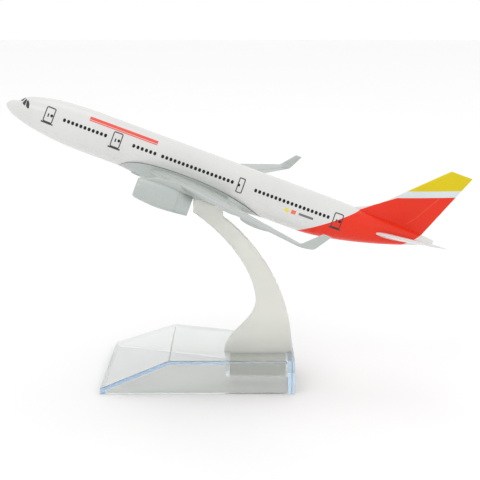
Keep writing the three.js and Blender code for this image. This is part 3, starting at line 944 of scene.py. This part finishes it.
def fin_sections(air):
    foot, top = FIN.fillet_foot, FIN.fillet_top
    heights = [FIN.foot] + [lerp(foot, top, i / 12) for i in range(13)]
    heights += [lerp(top, air.fin_tip, i / 12) for i in range(1, 13)]
    stations = []
    for height in heights:
        above = max(height, foot)
        fillet = max((top - above) / (top - foot), 0.0) ** 2
        lead = FIN.lead + FIN.sweep * (above - FIN.crown) - FIN.fillet_length * fillet
        trail = FIN.trail + FIN.trail_sweep * (height - FIN.crown)
        share = (height - FIN.foot) / (air.fin_tip - FIN.foot)
        thickness = lerp(FIN.root, FIN.tip, share)
        stations.append(section(lead, trail, height, 0.0, math.pi / 2.0, thickness))
    return rounded_tip(stations, 0.4)


def tailplane_sections(air):
    def tilt(x, y):
        rise = TAILPLANE.incidence * (x - TAILPLANE.lead)
        return TAILPLANE.height + rise + TAILPLANE.dihedral * (y - TAILPLANE.root_span)

    stations = []
    for index in range(13):
        span = lerp(TAILPLANE.buried + 0.6, air.tailplane_span, index / 12)
        outward = span - TAILPLANE.root_span
        share = outward / (air.tailplane_span - TAILPLANE.root_span)
        stations.append(section(
            TAILPLANE.lead + TAILPLANE.sweep * outward,
            TAILPLANE.trail + TAILPLANE.trail_sweep * outward,
            0.0,
            span,
            0.0,
            lerp(TAILPLANE.root, TAILPLANE.tip, share),
            tilt,
        ))
    return rounded_tip(stations, 0.35)


GROOVE_STEPS = 28
GROOVE_LIFT, GROOVE_DEPTH = 0.02, 0.05


def groove(stations, first, second, width, side=1.0):
    """A thin line on a blade, from (section number, chord share) to another, as a closed strip."""
    last = len(stations) - 1

    def place(along, across):
        number = min(lerp(first[0], second[0], along), last - 1e-6)
        inner = int(number)
        near, far = stations[inner], stations[inner + 1]
        here = between(near, far, number - inner)
        share = lerp(first[1], second[1], along)
        aside = (across - 0.5) * width
        if first[0] == second[0]:
            run = max(abs(far.span - near.span) + abs(far.height - near.height), 1e-3)
            here = between(near, far, number - inner + aside / run)
        else:
            share += aside / (here.trail - here.lead)
        return section_point(here, share, side, GROOVE_LIFT)

    bm = sheet(GROOVE_STEPS, 1, place)
    made = bmesh.ops.extrude_face_region(bm, geom=bm.faces[:])
    standing = abs(stations[0].lean) > 1.0
    for vert in new_verts(made):
        if standing:
            vert.co.y += GROOVE_DEPTH * side
        else:
            vert.co.z -= GROOVE_DEPTH * side
    bmesh.ops.recalc_face_normals(bm, faces=bm.faces)
    return bm


# ---------------------------------------------------------------- printed marks


def rounded_outline(half_width, half_height, radius, count):
    """Points spaced evenly round a rectangle with round corners."""
    straight_w, straight_h = half_width - radius, half_height - radius
    arc = radius * math.pi / 2.0
    runs = (2.0 * straight_h, arc, 2.0 * straight_w, arc) * 2
    total = sum(runs)
    corners = ((1, 1), (-1, 1), (-1, -1), (1, -1))
    out = []
    for index in range(count):
        travel = index / count * total
        quarter = 0
        while travel > runs[2 * quarter] + arc and quarter < 3:
            travel -= runs[2 * quarter] + arc
            quarter += 1
        sx, sz = corners[quarter]
        centre = (sx * straight_w, sz * straight_h)
        start = quarter * math.pi / 2.0
        if travel > runs[2 * quarter]:
            angle = start + (travel - runs[2 * quarter]) / arc * math.pi / 2.0
            out.append((centre[0] + radius * math.cos(angle), centre[1] + radius * math.sin(angle)))
        else:
            back = runs[2 * quarter] - travel
            edge = (centre[0] + radius * math.cos(start), centre[1] + radius * math.sin(start))
            out.append((edge[0] + math.sin(start) * back, edge[1] - math.cos(start) * back))
    return out


def turn_of(vert):
    """The turn of a circle's vertex round its middle."""
    return math.atan2(vert.co.y, vert.co.x) % (2.0 * math.pi)


def flat_patch(points, fine=0):
    """A flat film: x and y are station and height, and z is 1 on its outer face and 0 below."""
    bm = bmesh.new()
    bmesh.ops.create_circle(bm, cap_ends=True, cap_tris=True, segments=len(points), radius=1.0)
    bm.verts.ensure_lookup_table()
    rim = sorted((vert for vert in bm.verts if vert.co.length > 0.5), key=turn_of)
    centre = Vector((0.0, 0.0, 0.0))
    for vert, (x, y) in zip(rim, points):
        vert.co = Vector((x, y, 1.0))
        centre += vert.co / len(points)
    for vert in bm.verts:
        if vert not in rim:
            vert.co = centre
    if fine:
        bmesh.ops.subdivide_edges(bm, edges=bm.edges[:], cuts=fine, use_grid_fill=True)
    return thicken_film(bm)


def flat_ring(outer, inner):
    """A flat frame between two outlines with as many points."""
    bm = bmesh.new()
    bmesh.ops.create_circle(bm, cap_ends=False, segments=len(outer), radius=1.0)
    rim = sorted(bm.verts, key=turn_of)
    made = bmesh.ops.extrude_edge_only(bm, edges=bm.edges[:])
    inside = sorted(new_verts(made), key=turn_of)
    for verts, points in ((rim, outer), (inside, inner)):
        for vert, (x, y) in zip(verts, points):
            vert.co = Vector((x, y, 1.0))
    return thicken_film(bm)


def thicken_film(bm):
    """Gives a flat film, drawn at z = 1, its underside at z = 0."""
    made = bmesh.ops.extrude_face_region(bm, geom=bm.faces[:])
    for vert in new_verts(made):
        vert.co.z = 0.0
    return bm


def bar_film(width, height, columns):
    """A flat bar with enough faces along it to bend round the body."""
    bm = bmesh.new()
    bmesh.ops.create_grid(bm, x_segments=columns, y_segments=4, size=1.0)
    for vert in bm.verts:
        vert.co = Vector((vert.co.x * width / 2.0, vert.co.y * height / 2.0, 1.0))
    return thicken_film(bm)


def moved(bm, station, height):
    bmesh.ops.translate(bm, vec=(station, height, 0.0), verts=bm.verts)
    return bm


FILM_LIFT = 0.035
FILM_SUNK = -0.03


def press_on(air, bm):
    """Lays a flat film on the right side of the fuselage."""
    for vert in bm.verts:
        lift = FILM_LIFT if vert.co.z > 0.5 else FILM_SUNK
        vert.co = skin_point(air, vert.co.x, vert.co.y, lift)
    bmesh.ops.recalc_face_normals(bm, faces=bm.faces)
    return bm


def both_sides(name, make, material):
    """The same film on the left and right of the fuselage."""
    place = airliner_matrix()
    for side in SIDES:
        settle(f"{name}_{side}", sided(make(), side), place, AIRLINER, [material])


# ---------------------------------------------------------------- operators


class AIRLINER_OT_fuselage(Operator):
    """Two fuselage shells, left and right, open below where the fairing sits"""

    bl_idname = "airliner.fuselage"
    bl_label = "Fuselage Halves"

    def execute(self, context):
        air = settings()[0]
        edge = seam_points(air)
        rings = [(station, None) for station in body_stations(air)]
        end = air.body_length
        rings += [(end - 0.1, air.tail_end * 0.97), (end, air.tail_end * 0.8), (end, 0.0)]
        outer, inner = 30, 16
        around = outer + inner + 2

        def place(ring, share):
            station, radius = ring
            radius = body_radius(air, station) if radius is None else radius
            height = seam_height(edge, station)
            keel = math.pi
            if height is not None:
                up = (height - body_centre(air, station)) / radius
                keel = math.acos(min(max(up, -1.0), 1.0))
            step = round(share * around)
            if step <= outer:
                point = body_point(air, station, keel * step / outer, radius)
            elif step < around:
                hollow = max(radius - air.skin, 0.35 * radius)
                turn = keel * (1.0 - (step - outer - 1) / inner)
                point = body_point(air, station, turn, hollow)
            else:
                point = body_point(air, station, 0.0, radius)
            point.y = max(point.y, air.seam / 2.0)
            return point

        finishes = ("white_enamel", "red_enamel")
        for side in SIDES:
            bm = loft(rings, around, place)
            livery(bm)
            settle(
                f"fuselage_shell_{side}",
                sided(bm, side),
                airliner_matrix(),
                AIRLINER,
                finishes,
                [f"fuselage_half_{side}"],
            )
        return {"FINISHED"}


class AIRLINER_OT_fairing(Operator):
    """Belly fairing: a swelling tray with the arm's slot, four screw bores and its socket"""

    bl_idname = "airliner.fairing"
    bl_label = "Belly Fairing"

    def execute(self, context):
        air, stand, _, stage = settings()
        edge = seam_points(air)
        front, rear = air.fairing_front, air.fairing_rear
        shares = [0.5 - 0.5 * math.cos(i / 96 * math.pi) for i in range(97)]
        rings = [lerp(front + 0.15, rear - 0.15, share) for share in shares]
        outer, inner, wall = 44, 30, 1.2
        around = outer + inner + 2

        def swell(station):
            rise = ramp(station, front, front + 14.0)
            fall = 1.0 - ramp(station, rear - 18.2, rear)
            return min(rise, fall)

        def form(station, turn, offset):
            """A point of the fuller section; turn runs from the keel, 0, up the right side."""
            grown = swell(station)
            power = 2.0 / (2.0 + 0.7 * grown)
            middle = -2.0 * grown
            half_width = air.body_radius + air.fairing_side * grown + offset
            half_height = air.body_radius + air.fairing_depth * grown + middle + offset
            across, down = math.sin(turn), math.cos(turn)
            y = math.copysign(abs(across) ** power, across) * half_width
            z = middle - math.copysign(abs(down) ** power, down) * half_height
            return Vector((station, y, z))

        def edge_turn(station, offset):
            height = seam_height(edge, station)
            height = (height if height is not None else -air.body_radius) - 0.12
            low, high = 0.0, math.pi / 1.5
            for _ in range(30):
                turn = (low + high) / 2.0
                if form(station, turn, offset).z < height:
                    low = turn
                else:
                    high = turn
            return turn

        def place(station, share):
            step = round(share * around) % around
            thin = min(wall, 0.06 + 0.5 * min(station - front, rear - station))
            if step <= outer:
                top = edge_turn(station, 0.0)
                return form(station, lerp(-top, top, step / outer), 0.0)
            top = edge_turn(station, -thin)
            return form(station, lerp(top, -top, (step - outer - 1) / inner), -thin)

        tray = loft(rings, around, place)
        belly = -air.body_radius - air.fairing_depth
        lean = Matrix.Rotation(-stage.pitch, 4, "Y")
        seat = Matrix.Translation((stand.tongue_station, 0.0, belly)) @ lean

        def upright(width, thickness, low, high):
            """A block that stands upright over the stand, its ends parallel to the belly."""
            half_width, half = width / 2.0, thickness / 2.0
            bm = block((-half_width, -half, 0.0), (half_width, half, 1.0))
            for vert in bm.verts:
                depth = high if vert.co.z > 0.5 else low
                vert.co.z = (depth - vert.co.x * math.sin(stage.pitch)) / math.cos(stage.pitch)
            bm.transform(seat)
            return bm

        width = stand.tongue_width + 2.0 * air.gap
        thickness = stand.arm_thickness + 2.0 * air.gap
        depth, walls = stand.tongue_depth + air.gap, 2.0 * SOCKET_WALL
        socket = upright(width + walls, thickness + walls, 0.6, depth + SOCKET_WALL)
        slot = upright(width, thickness, -4.0, depth)
        bosses, bores = [], []
        rear_screw = stand.tongue_station + stand.tongue_width / 2.0 + 4.5
        for station in (front + 7.5, rear_screw):
            foot = belly + 0.5 if station > front + 10.0 else belly + 1.25
            for y in (-SCREW.aside, SCREW.aside):
                bosses.append(round_bar(station, y, SCREW.boss, foot, belly + 3.9))
                bores.append(round_bar(station, y, SCREW.head, belly - 4.0, belly + 2.9))
                bores.append(round_bar(station, y, SCREW.shank, belly - 4.0, belly + 8.0))
        tray = combine(gather(tray, socket, *bosses), gather(*bores), "DIFFERENCE")
        tray = combine(tray, slot, "DIFFERENCE")
        finishes, nodes = ["silver_paint"], ["belly_fairing"]
        settle("fairing_shell", tray, airliner_matrix(), AIRLINER, finishes, nodes)
        return {"FINISHED"}


class AIRLINER_OT_wings(Operator):
    """Swept wings with winglets, flap tracks and control surface lines"""

    bl_idname = "airliner.wings"
    bl_label = "Wings"

    # Each line goes from one (section number, chord share) to another, with its width.
    HINGES = (((1, 0.72), (10, 0.72), 0.13), ((10, 0.72), (29, 0.74), 0.13))
    TOP_LINES = (
        ((2, 0.13), (29, 0.15), 0.11),
        ((10, 0.73), (10, 0.985), 0.13),
        ((21, 0.73), (21, 0.985), 0.13),
        ((29, 0.75), (29, 0.985), 0.13),
    )

    def execute(self, context):
        air = settings()[0]
        place = airliner_matrix()
        stations = wing_sections(air)
        for side in SIDES:
            pods = [self.flap_track(air, span) for span in FLAP_TRACK.spans]
            wing = gather(blade(stations), *pods)
            lines = [groove(stations, *line) for line in self.HINGES + self.TOP_LINES]
            lines += [groove(stations, *line, -1.0) for line in self.HINGES]
            wing, lines = sided(wing, side), sided(gather(*lines), side)
            paint, nodes = ["silver_paint"], [f"wing_{side}"]
            settle(f"wing_panel_{side}", wing, place, AIRLINER, paint, nodes)
            dark = ["groove_paint"]
            settle(f"wing_lines_{side}", lines, place, AIRLINER, dark)
        return {"FINISHED"}

    @staticmethod
    def flap_track(air, span):
        """A pod under the trailing edge, blunt ahead and fine behind."""
        half_length, half_width, half_height = FLAP_TRACK.half
        bm = bmesh.new()
        bmesh.ops.create_uvsphere(bm, u_segments=24, v_segments=24, radius=1.0)
        x = wing_trail(air, span) - FLAP_TRACK.forward
        z = wing_height(air, span) - FLAP_TRACK.drop
        for vert in bm.verts:
            u, v, w = vert.co
            fine = 1.0 - 0.3 * max(w, 0.0) ** 1.5
            across, up = u * half_width * fine, v * half_height * fine
            vert.co = (x + w * half_length, span + across, z + up)
        bmesh.ops.recalc_face_normals(bm, faces=bm.faces)
        return bm


class AIRLINER_OT_tail(Operator):
    """Fin with straight colour bands, and the tailplane"""

    bl_idname = "airliner.tail"
    bl_label = "Fin and Tailplane"

    def execute(self, context):
        air = settings()[0]
        place = airliner_matrix()
        stations = fin_sections(air)
        fin = blade(stations)
        point, to_red = RED_LINE
        for index, line in ((3, (point, -to_red)), (1, BAND_LINE), (2, YELLOW_LINE)):
            colour_beyond(fin, line, index)
        paints = ("red_enamel", "band_enamel", "yellow_enamel", "white_enamel")
        settle("fin_blade", fin, place, AIRLINER, paints, ["tail_fin"])
        # The rudder's hinge strips carry a lighter red on both faces: a painted highlight along the
        # hinge.
        lines = self.hinge(stations, (4, 0.71), (18, 0.69), 0.16)
        settle("rudder_lines", lines, place, AIRLINER, ["rudder_hinge_highlight"])
        stations = tailplane_sections(air)
        for side in SIDES:
            panel = sided(blade(stations, 48), side)
            lines = sided(self.hinge(stations, (3, 0.68), (11, 0.66), 0.12), side)
            paint, nodes = ["white_enamel"], [f"tailplane_{side}"]
            settle(f"tailplane_panel_{side}", panel, place, AIRLINER, paint, nodes)
            name, dark = f"elevator_lines_{side}", ["groove_paint"]
            settle(name, lines, place, AIRLINER, dark)
        return {"FINISHED"}

    @staticmethod
    def hinge(stations, first, second, width):
        """One line on each face of a blade."""
        return gather(*(groove(stations, first, second, width, side) for side in (1.0, -1.0)))


class AIRLINER_OT_engines(Operator):
    """Cowls, bladed fans, exhausts and pylons"""

    bl_idname = "airliner.engines"
    bl_label = "Engines"

    BLADES = 12
    FAN_STATION = 4.5
    JOINT_LINE = ((-0.1, 0.01), (-0.1, -0.1), (0.1, -0.1), (0.1, -0.01))
    SPINNER = ((2.3, 0.05), (2.6, 0.33), (3.3, 0.72), (4.0, 0.9))
    BULKHEAD = ((7.4, 0.0), (7.4, 2.8), (8.6, 2.8), (9.3, 2.4))
    NOZZLE = ((9.6, 2.4), (13.0, 2.38), (16.2, 2.2), (18.6, 1.9))
    MOUTH = ((18.6, 1.6), (17.4, 1.6), (17.4, 1.14))
    PLUG = ((18.3, 1.06), (18.7, 0.8), (19.1, 0.4), (19.3, 0.0))

    def execute(self, context):
        air = settings()[0]
        axis = Matrix.Translation((air.engine_front, air.engine_span, air.engine_height))
        for side in SIDES:
            self.make(air, axis, side)
        return {"FINISHED"}

    def make(self, air, axis, side):
        run, radius = air.engine_length, air.engine_radius
        outside = (
            (0.0, 3.05),
            (0.08 * run, lerp(3.05, radius, 0.5)),
            (0.4 * run, radius),
            (0.7 * run, lerp(3.5, radius, 0.75)),
            (run, 3.5),
        )
        duct = ((run, 3.2), (0.6 * run, 3.1), (0.25 * run, 3.1), (0.08 * run, 2.7), (0.0, 2.93))
        joint = 0.76 * run
        lined = []
        for x, r in curve_through(outside, 36):
            if lined and lined[-1][0] < joint <= x:
                lined += [(joint + along, r + out) for along, out in self.JOINT_LINE]
            lined.append((x, r))
        cowl = turned(lined + curve_through(duct, 24), 72)
        spinner = [(2.3, 0.0), *curve_through(self.SPINNER, 10), (5.0, 0.9), (5.0, 0.0)]
        wheel = turned(spinner, 40, closed=False)
        turns = [index / self.BLADES * 2.0 * math.pi for index in range(self.BLADES)]
        fan = gather(wheel, *(self.fan_blade(turn) for turn in turns))
        nozzle, plug = curve_through(self.NOZZLE, 16), curve_through(self.PLUG, 10)
        core = turned([*self.BULKHEAD, *nozzle, *self.MOUTH, *plug], 56, closed=False)
        pylon = self.pylon(air)
        silver, dark = "silver_paint", "dark_metal"
        place = airliner_matrix()
        rows = (
            ("cowl_shell", cowl, axis, silver, "engine_cowl"),
            ("fan_wheel", fan, axis, dark, "engine_fan"),
            ("exhaust_nozzle", core, axis, dark, "exhaust_core"),
            ("pylon_strut", pylon, Matrix.Identity(4), silver, "engine_pylon"),
        )
        for name, bm, own, paint, node in rows:
            bm.transform(own)
            bm = sided(bm, side)
            settle(f"{name}_{side}", bm, place, AIRLINER, [paint], [f"{node}_{side}"])

    @classmethod
    def fan_blade(cls, turn):
        """A twisted blade, thickest in the middle of its chord."""

        def place(ring, share):
            reach = lerp(0.55, 2.76, ring)
            twist = math.radians(lerp(28.0, 58.0, ring))
            angle = 2.0 * math.pi * share
            chord = 0.62 * math.cos(angle)
            half = 0.12 * math.sin(angle)
            if ring in (0.0, 1.0):
                half = 0.0
            x = chord * math.cos(twist) - half * math.sin(twist)
            y = chord * math.sin(twist) + half * math.cos(twist)
            return Vector((cls.FAN_STATION + x * 0.95, y, reach))

        bm = loft([0.0, 0.02, 0.25, 0.5, 0.75, 0.98, 1.0], 16, place)
        bm.transform(Matrix.Rotation(turn, 4, "X"))
        return bm

    @staticmethod
    def pylon(air):
        """The strut from the cowl's crown to the wing's underside."""
        span = air.engine_span
        lead = wing_lead(air, span)
        under = wing_height(air, span) - wing_thickness(air, span) / 2.0
        crest = wing_height(air, span) + 0.8
        root = air.engine_height + 2.95
        start, end = air.engine_front + 2.6, air.engine_front + 27.0
        points = [
            (start, root),
            (start, root + 1.0),
            (start + 3.0, crest - 0.9),
            (lead - 1.0, crest),
            (lead + 1.2, crest - 0.3),
            (lead + 3.0, under + 0.7),
            (end - 3.0, under + 0.7),
            (end, under - 0.2),
            (end - 2.0, under - 0.6),
            (air.engine_front + air.engine_length + 1.2, root),
        ]
        return plate(points, span - 0.9, span + 0.9, 0.4, 4)


class AIRLINER_OT_marks(Operator):
    """Printed windows, doors, cockpit panes and plain stripes"""

    bl_idname = "airliner.marks"
    bl_label = "Printed Marks"

    WINDOW_ROWS = ((21.8, 36.9, 11), (47.3, 55.1, 6), (58.0, 83.9, 18), (92.7, 120.1, 19))
    WINDOW_HEIGHT = 1.9
    DOOR_LINE, DOOR_HALF_HEIGHT, DOOR_MIDDLE = 0.34, 2.68, 1.68
    DOORS = ((16.25, True), (41.0, True), (123.7, True), (87.1, False))
    PANES = (
        ((4.8, 2.45), (5.4, 2.5), (5.9, 3.5), (5.6, 3.55)),
        ((5.8, 2.0), (6.6, 1.6), (6.9, 1.62), (6.75, 3.4), (6.3, 3.35)),
        ((7.05, 3.1), (7.4, 1.5), (8.3, 1.1), (8.5, 1.4), (8.2, 2.5), (7.5, 3.3)),
    )
    PANE_GROWTH = 1.14

    def execute(self, context):
        air = settings()[0]
        both_sides("cabin_windows", lambda: self.windows(air), "window_ink")
        both_sides("door_outlines", lambda: self.doors(air), "door_ink")
        both_sides("cockpit_panes", lambda: self.panes(air), "pane_ink")
        both_sides("front_stripes", lambda: self.stripes(air), "stripe_ink")
        both_sides("rear_plate", lambda: self.bar(air, 112.6, -0.6, 5.4, 0.8), "plate_ink")
        both_sides("yellow_patch", lambda: self.patch(air, 105.4, -0.8), "patch_yellow")
        both_sides("red_patch", lambda: self.patch(air, 107.9, -0.7), "patch_red")
        return {"FINISHED"}

    def windows(self, air):
        outline = rounded_outline(0.5, 0.62, 0.46, 20)
        films = []
        for first, last, count in self.WINDOW_ROWS:
            for index in range(count):
                station = lerp(first, last, index / (count - 1))
                films.append(moved(flat_patch(outline), station, self.WINDOW_HEIGHT))
        dots = rounded_outline(0.46, 0.5, 0.44, 20)
        for station, full in self.DOORS:
            shift = 0.85 if full else -0.62
            films.append(moved(flat_patch(dots), station + shift, 1.7))
        return press_on(air, gather(*films))

    def doors(self, air):
        films = []
        for station, full in self.DOORS:
            half_width, radius = (1.75, 0.55) if full else (1.15, 0.45)
            size = (half_width, self.DOOR_HALF_HEIGHT, radius)
            outer = rounded_outline(*size, 80)
            inner = rounded_outline(*(value - self.DOOR_LINE for value in size), 80)
            films.append(moved(flat_ring(outer, inner), station, self.DOOR_MIDDLE))
            if full:
                films.append(moved(bar_film(4.4, 0.52, 12), station - 0.05, -1.25))
                films.append(moved(bar_film(0.45, 1.2, 2), station - 0.35, 1.55))
        return press_on(air, gather(*films))

    def panes(self, air):
        films = []
        for corners in self.PANES:
            middle = [sum(values) / len(corners) for values in zip(*corners)]
            corners = [
                tuple(lerp(m, c, self.PANE_GROWTH) for m, c in zip(middle, corner))
                for corner in corners
            ]
            rim = []
            for index, corner in enumerate(corners):
                after = corners[(index + 1) % len(corners)]
                before = corners[index - 1]
                for other, share in ((before, 0.14), (after, 0.14), (after, 0.5)):
                    rim.append(tuple(lerp(c, o, share) for c, o in zip(corner, other)))
            films.append(flat_patch(rim, 3))
        return press_on(air, gather(*films))

    def stripes(self, air):
        return press_on(air, gather(
            moved(bar_film(25.0, 0.85, 48), 42.3, 5.6),
            moved(bar_film(25.0, 0.3, 48), 42.3, 4.85),
        ))

    def bar(self, air, station, height, width, tall):
        return press_on(air, moved(bar_film(width, tall, 12), station, height))

    def patch(self, air, station, height):
        outline = rounded_outline(0.85, 0.7, 0.2, 32)
        return press_on(air, moved(flat_patch(outline, 2), station, height))


class AIRLINER_OT_screws(Operator):
    """Steel finish on the four fairing screws"""

    bl_idname = "airliner.screws"
    bl_label = "Fairing Screws"

    def execute(self, context):
        steel = finish("screw_steel")
        for place in ("front_left", "front_right", "rear_left", "rear_right"):
            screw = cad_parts[f"fairing_screw_{place}"]
            screw.data.materials.clear()
            screw.data.materials.append(steel)
        return {"FINISHED"}


class AIRLINER_OT_arm(Operator):
    """Curved frosted arm with its tongue and tenon"""

    bl_idname = "airliner.arm"
    bl_label = "Arm"

    def execute(self, context):
        _, stand, _, stage = settings()
        middle = stand.base_length - TONGUE_MIDDLE
        left, right = middle - stand.tongue_width / 2.0, middle + stand.tongue_width / 2.0
        foot = stand.base_height + 0.1
        neck, shoulder = stand.arm_perch - 3.3, stand.arm_perch - 5.4
        waist = (stand.base_length - 14.1, stand.base_height + 19.0)
        toe, heel = stand.base_length - 25.7, stand.base_length - 0.7
        swing = lerp(foot, shoulder, 0.46)

        def crest(x):
            top = stand.arm_perch + stand.tongue_depth / math.cos(stage.pitch)
            return top - math.tan(stage.pitch) * (x - middle)

        points = [(left, crest(left)), (left, neck)]
        above, below = (waist[0], waist[1] + 13.0), (waist[0], waist[1] - 7.5)
        points += bezier((left, neck), (left + 10.3, neck - 7.1), above, waist, 40)
        points += bezier(waist, below, (toe + 0.2, foot + 7.0), (toe, foot), 28)
        start, end = stand.base_length - TENON.front, stand.base_length - TENON.rear
        points += [(start, foot), (start, TENON.low), (end, TENON.low), (end, foot), (heel, foot)]
        points += bezier(
            (heel, foot), (heel, swing), (right + 12.2, shoulder - 9.1), (right + 0.3, shoulder), 56
        )
        points += [(right, shoulder + 2.0), (right, crest(right))]
        half = stand.arm_thickness / 2.0
        arm = plate(points, -half, half, 0.28, 4)
        finishes, nodes = ["frosted_acrylic"], ["stand_arm"]
        settle("arm_blade", arm, stand_matrix(), ARM, finishes, nodes, sharp=FLAT_SIDED)
        return {"FINISHED"}


class AIRLINER_OT_base(Operator):
    """Clear hollow base with a sloping front and the arm's socket"""

    bl_idname = "airliner.base"
    bl_label = "Base"

    def execute(self, context):
        _, stand, _, _ = settings()
        outer = self.form(stand, 0.0)
        round_off(outer, [edge for edge in outer.edges if self.rimmed(edge)], 0.35, 4)
        inner = self.form(stand, 1.0)
        half = stand.arm_thickness / 2.0
        start, end = stand.base_length - TENON.front, stand.base_length - TENON.rear
        walls, gap = SOCKET_WALL, 0.3
        rear = stand.base_length - stand.rear_wall / 2.0
        socket = block(
            (start - gap - walls, -half - gap - walls, TENON.low),
            (rear, half + gap + walls, stand.base_height - stand.top / 2.0),
        )
        slot = block((start - gap, -half - gap, -20.0), (end + gap, half + gap, 40.0))
        shell = combine(outer, inner, "DIFFERENCE")
        shell = combine(shell, socket, "UNION")
        shell = combine(shell, slot, "DIFFERENCE")
        finishes, nodes = ["clear_acrylic"], ["stand_base"]
        settle("base_shell", shell, stand_matrix(), STAND, finishes, nodes, sharp=FLAT_SIDED)
        return {"FINISHED"}

    @staticmethod
    def rimmed(edge):
        """Every outside edge but those on the floor."""
        return max(vert.co.z for vert in edge.verts) > 0.01

    @staticmethod
    def form(stand, inside):
        """The outer form, or the hollow under its top where inside is 1."""
        rise = (stand.base_height - stand.base_lip) / stand.base_slope
        cover = stand.top * math.hypot(1.0, rise)
        taper = (stand.far_front - stand.far_rear) / stand.base_length
        wall = stand.wall * inside
        low = -3.0 * inside
        roof = stand.base_height - stand.top * inside
        knee = stand.base_slope + (cover - stand.top) / rise * inside
        front, rear = wall, stand.base_length - stand.rear_wall * inside
        lip = max(stand.base_lip - cover * inside + rise * front * inside, low + 0.1)
        profile = [(front, low), (rear, low), (rear, roof), (knee, roof), (front, lip)]
        bm = plate(profile, 0.0, 1.0)
        for vert in bm.verts:
            x = vert.co.x
            far = stand.far_front - taper * x - wall * math.hypot(1.0, taper)
            vert.co.y = -stand.near_side + wall if vert.co.y < 0.5 else far
        bmesh.ops.recalc_face_normals(bm, faces=bm.faces)
        return bm


class AIRLINER_OT_stage(Operator):
    """Pale floor, soft lights and the camera"""

    bl_idname = "airliner.stage"
    bl_label = "Stage"

    # Name, place and size in metres, and watts.
    LIGHTS = (
        ("key_light", (-0.5, -0.8, 1.1), 0.5, 1.1),
        ("fill_light", (0.9, -0.7, 0.7), 0.6, 0.3),
        ("top_light", (0.0, 0.3, 1.3), 0.7, 0.9),
    )
    AIM = Vector((0.0, 0.0, 0.05))

    def execute(self, context):
        scene = context.scene
        stage = scene.airliner_stage
        scene.view_settings.view_transform = "Standard"
        scene.cycles.max_bounces = 24
        scene.cycles.glossy_bounces = 20
        scene.cycles.transmission_bounces = 24
        world = bpy.data.worlds.new("studio")
        world.use_nodes = True
        backdrop = world.node_tree.nodes["Background"]
        backdrop.inputs["Color"].default_value = (1.0, 1.0, 1.0, 1.0)
        backdrop.inputs["Strength"].default_value = 1.0
        scene.world = world

        # The floor lies a hair below the base, so that light gets in under its clear walls.
        def spot(x, y):
            return Vector(((x - 0.5) * FLOOR_SIZE, (y - 0.5) * FLOOR_SIZE, -FLOOR_DROP))

        bm = sheet(8, 8, spot)
        mesh = bpy.data.meshes.new("floor")
        bm.to_mesh(mesh)
        bm.free()
        mesh.materials.append(finish("floor"))
        floor = bpy.data.objects.new("floor", mesh)
        scene.collection.objects.link(floor)

        lights = [self.soft_light(*row) for row in self.LIGHTS]
        data = bpy.data.cameras.new("camera")
        data.sensor_width = 36.0
        data.lens = stage.camera_lens
        data.clip_start = 0.01
        camera = bpy.data.objects.new("camera", data)
        camera.location = stage.camera_place
        camera.rotation_euler = (math.pi / 2.0 - stage.camera_dip, 0.0, 0.0)
        scene.collection.objects.link(camera)
        scene.camera = camera
        return {"FINISHED"}

    @staticmethod
    def soft_light(name, place, size, power):
        data = bpy.data.lights.new(name, "AREA")
        data.shape = "DISK"
        data.size = size
        data.energy = power
        light = bpy.data.objects.new(name, data)
        light.location = place
        aim = AIRLINER_OT_stage.AIM - Vector(place)
        light.rotation_euler = aim.to_track_quat("-Z", "Y").to_euler()
        bpy.context.scene.collection.objects.link(light)
        return light


# ---------------------------------------------------------------- panel and registration


OPERATORS = (
    AIRLINER_OT_fuselage,
    AIRLINER_OT_fairing,
    AIRLINER_OT_wings,
    AIRLINER_OT_tail,
    AIRLINER_OT_engines,
    AIRLINER_OT_marks,
    AIRLINER_OT_screws,
    AIRLINER_OT_arm,
    AIRLINER_OT_base,
    AIRLINER_OT_stage,
)


class AIRLINER_PT_panel(Panel):
    """Lists the airliner's operators"""

    bl_idname = "AIRLINER_PT_panel"
    bl_label = "Airliner"
    bl_space_type = "VIEW_3D"
    bl_region_type = "UI"
    bl_category = "Airliner"

    def draw(self, context):
        for operator in OPERATORS:
            self.layout.operator(operator.bl_idname)


GROUPS = (
    ("airliner_sizes", AirlinerSizes),
    ("stand_sizes", StandSizes),
    ("airliner_finishes", Finishes),
    ("airliner_stage", StageSettings),
)


def register():
    for name, group in GROUPS:
        bpy.utils.register_class(group)
        setattr(bpy.types.Scene, name, PointerProperty(type=group))
    for operator in OPERATORS:
        bpy.utils.register_class(operator)
    bpy.utils.register_class(AIRLINER_PT_panel)


def unregister():
    bpy.utils.unregister_class(AIRLINER_PT_panel)
    for operator in reversed(OPERATORS):
        bpy.utils.unregister_class(operator)
    for name, group in reversed(GROUPS):
        delattr(bpy.types.Scene, name)
        bpy.utils.unregister_class(group)


def main():
    register()
    for operator in OPERATORS:
        category, name = operator.bl_idname.split(".")
        getattr(getattr(bpy.ops, category), name)()


if __name__ == "__main__":
    main()
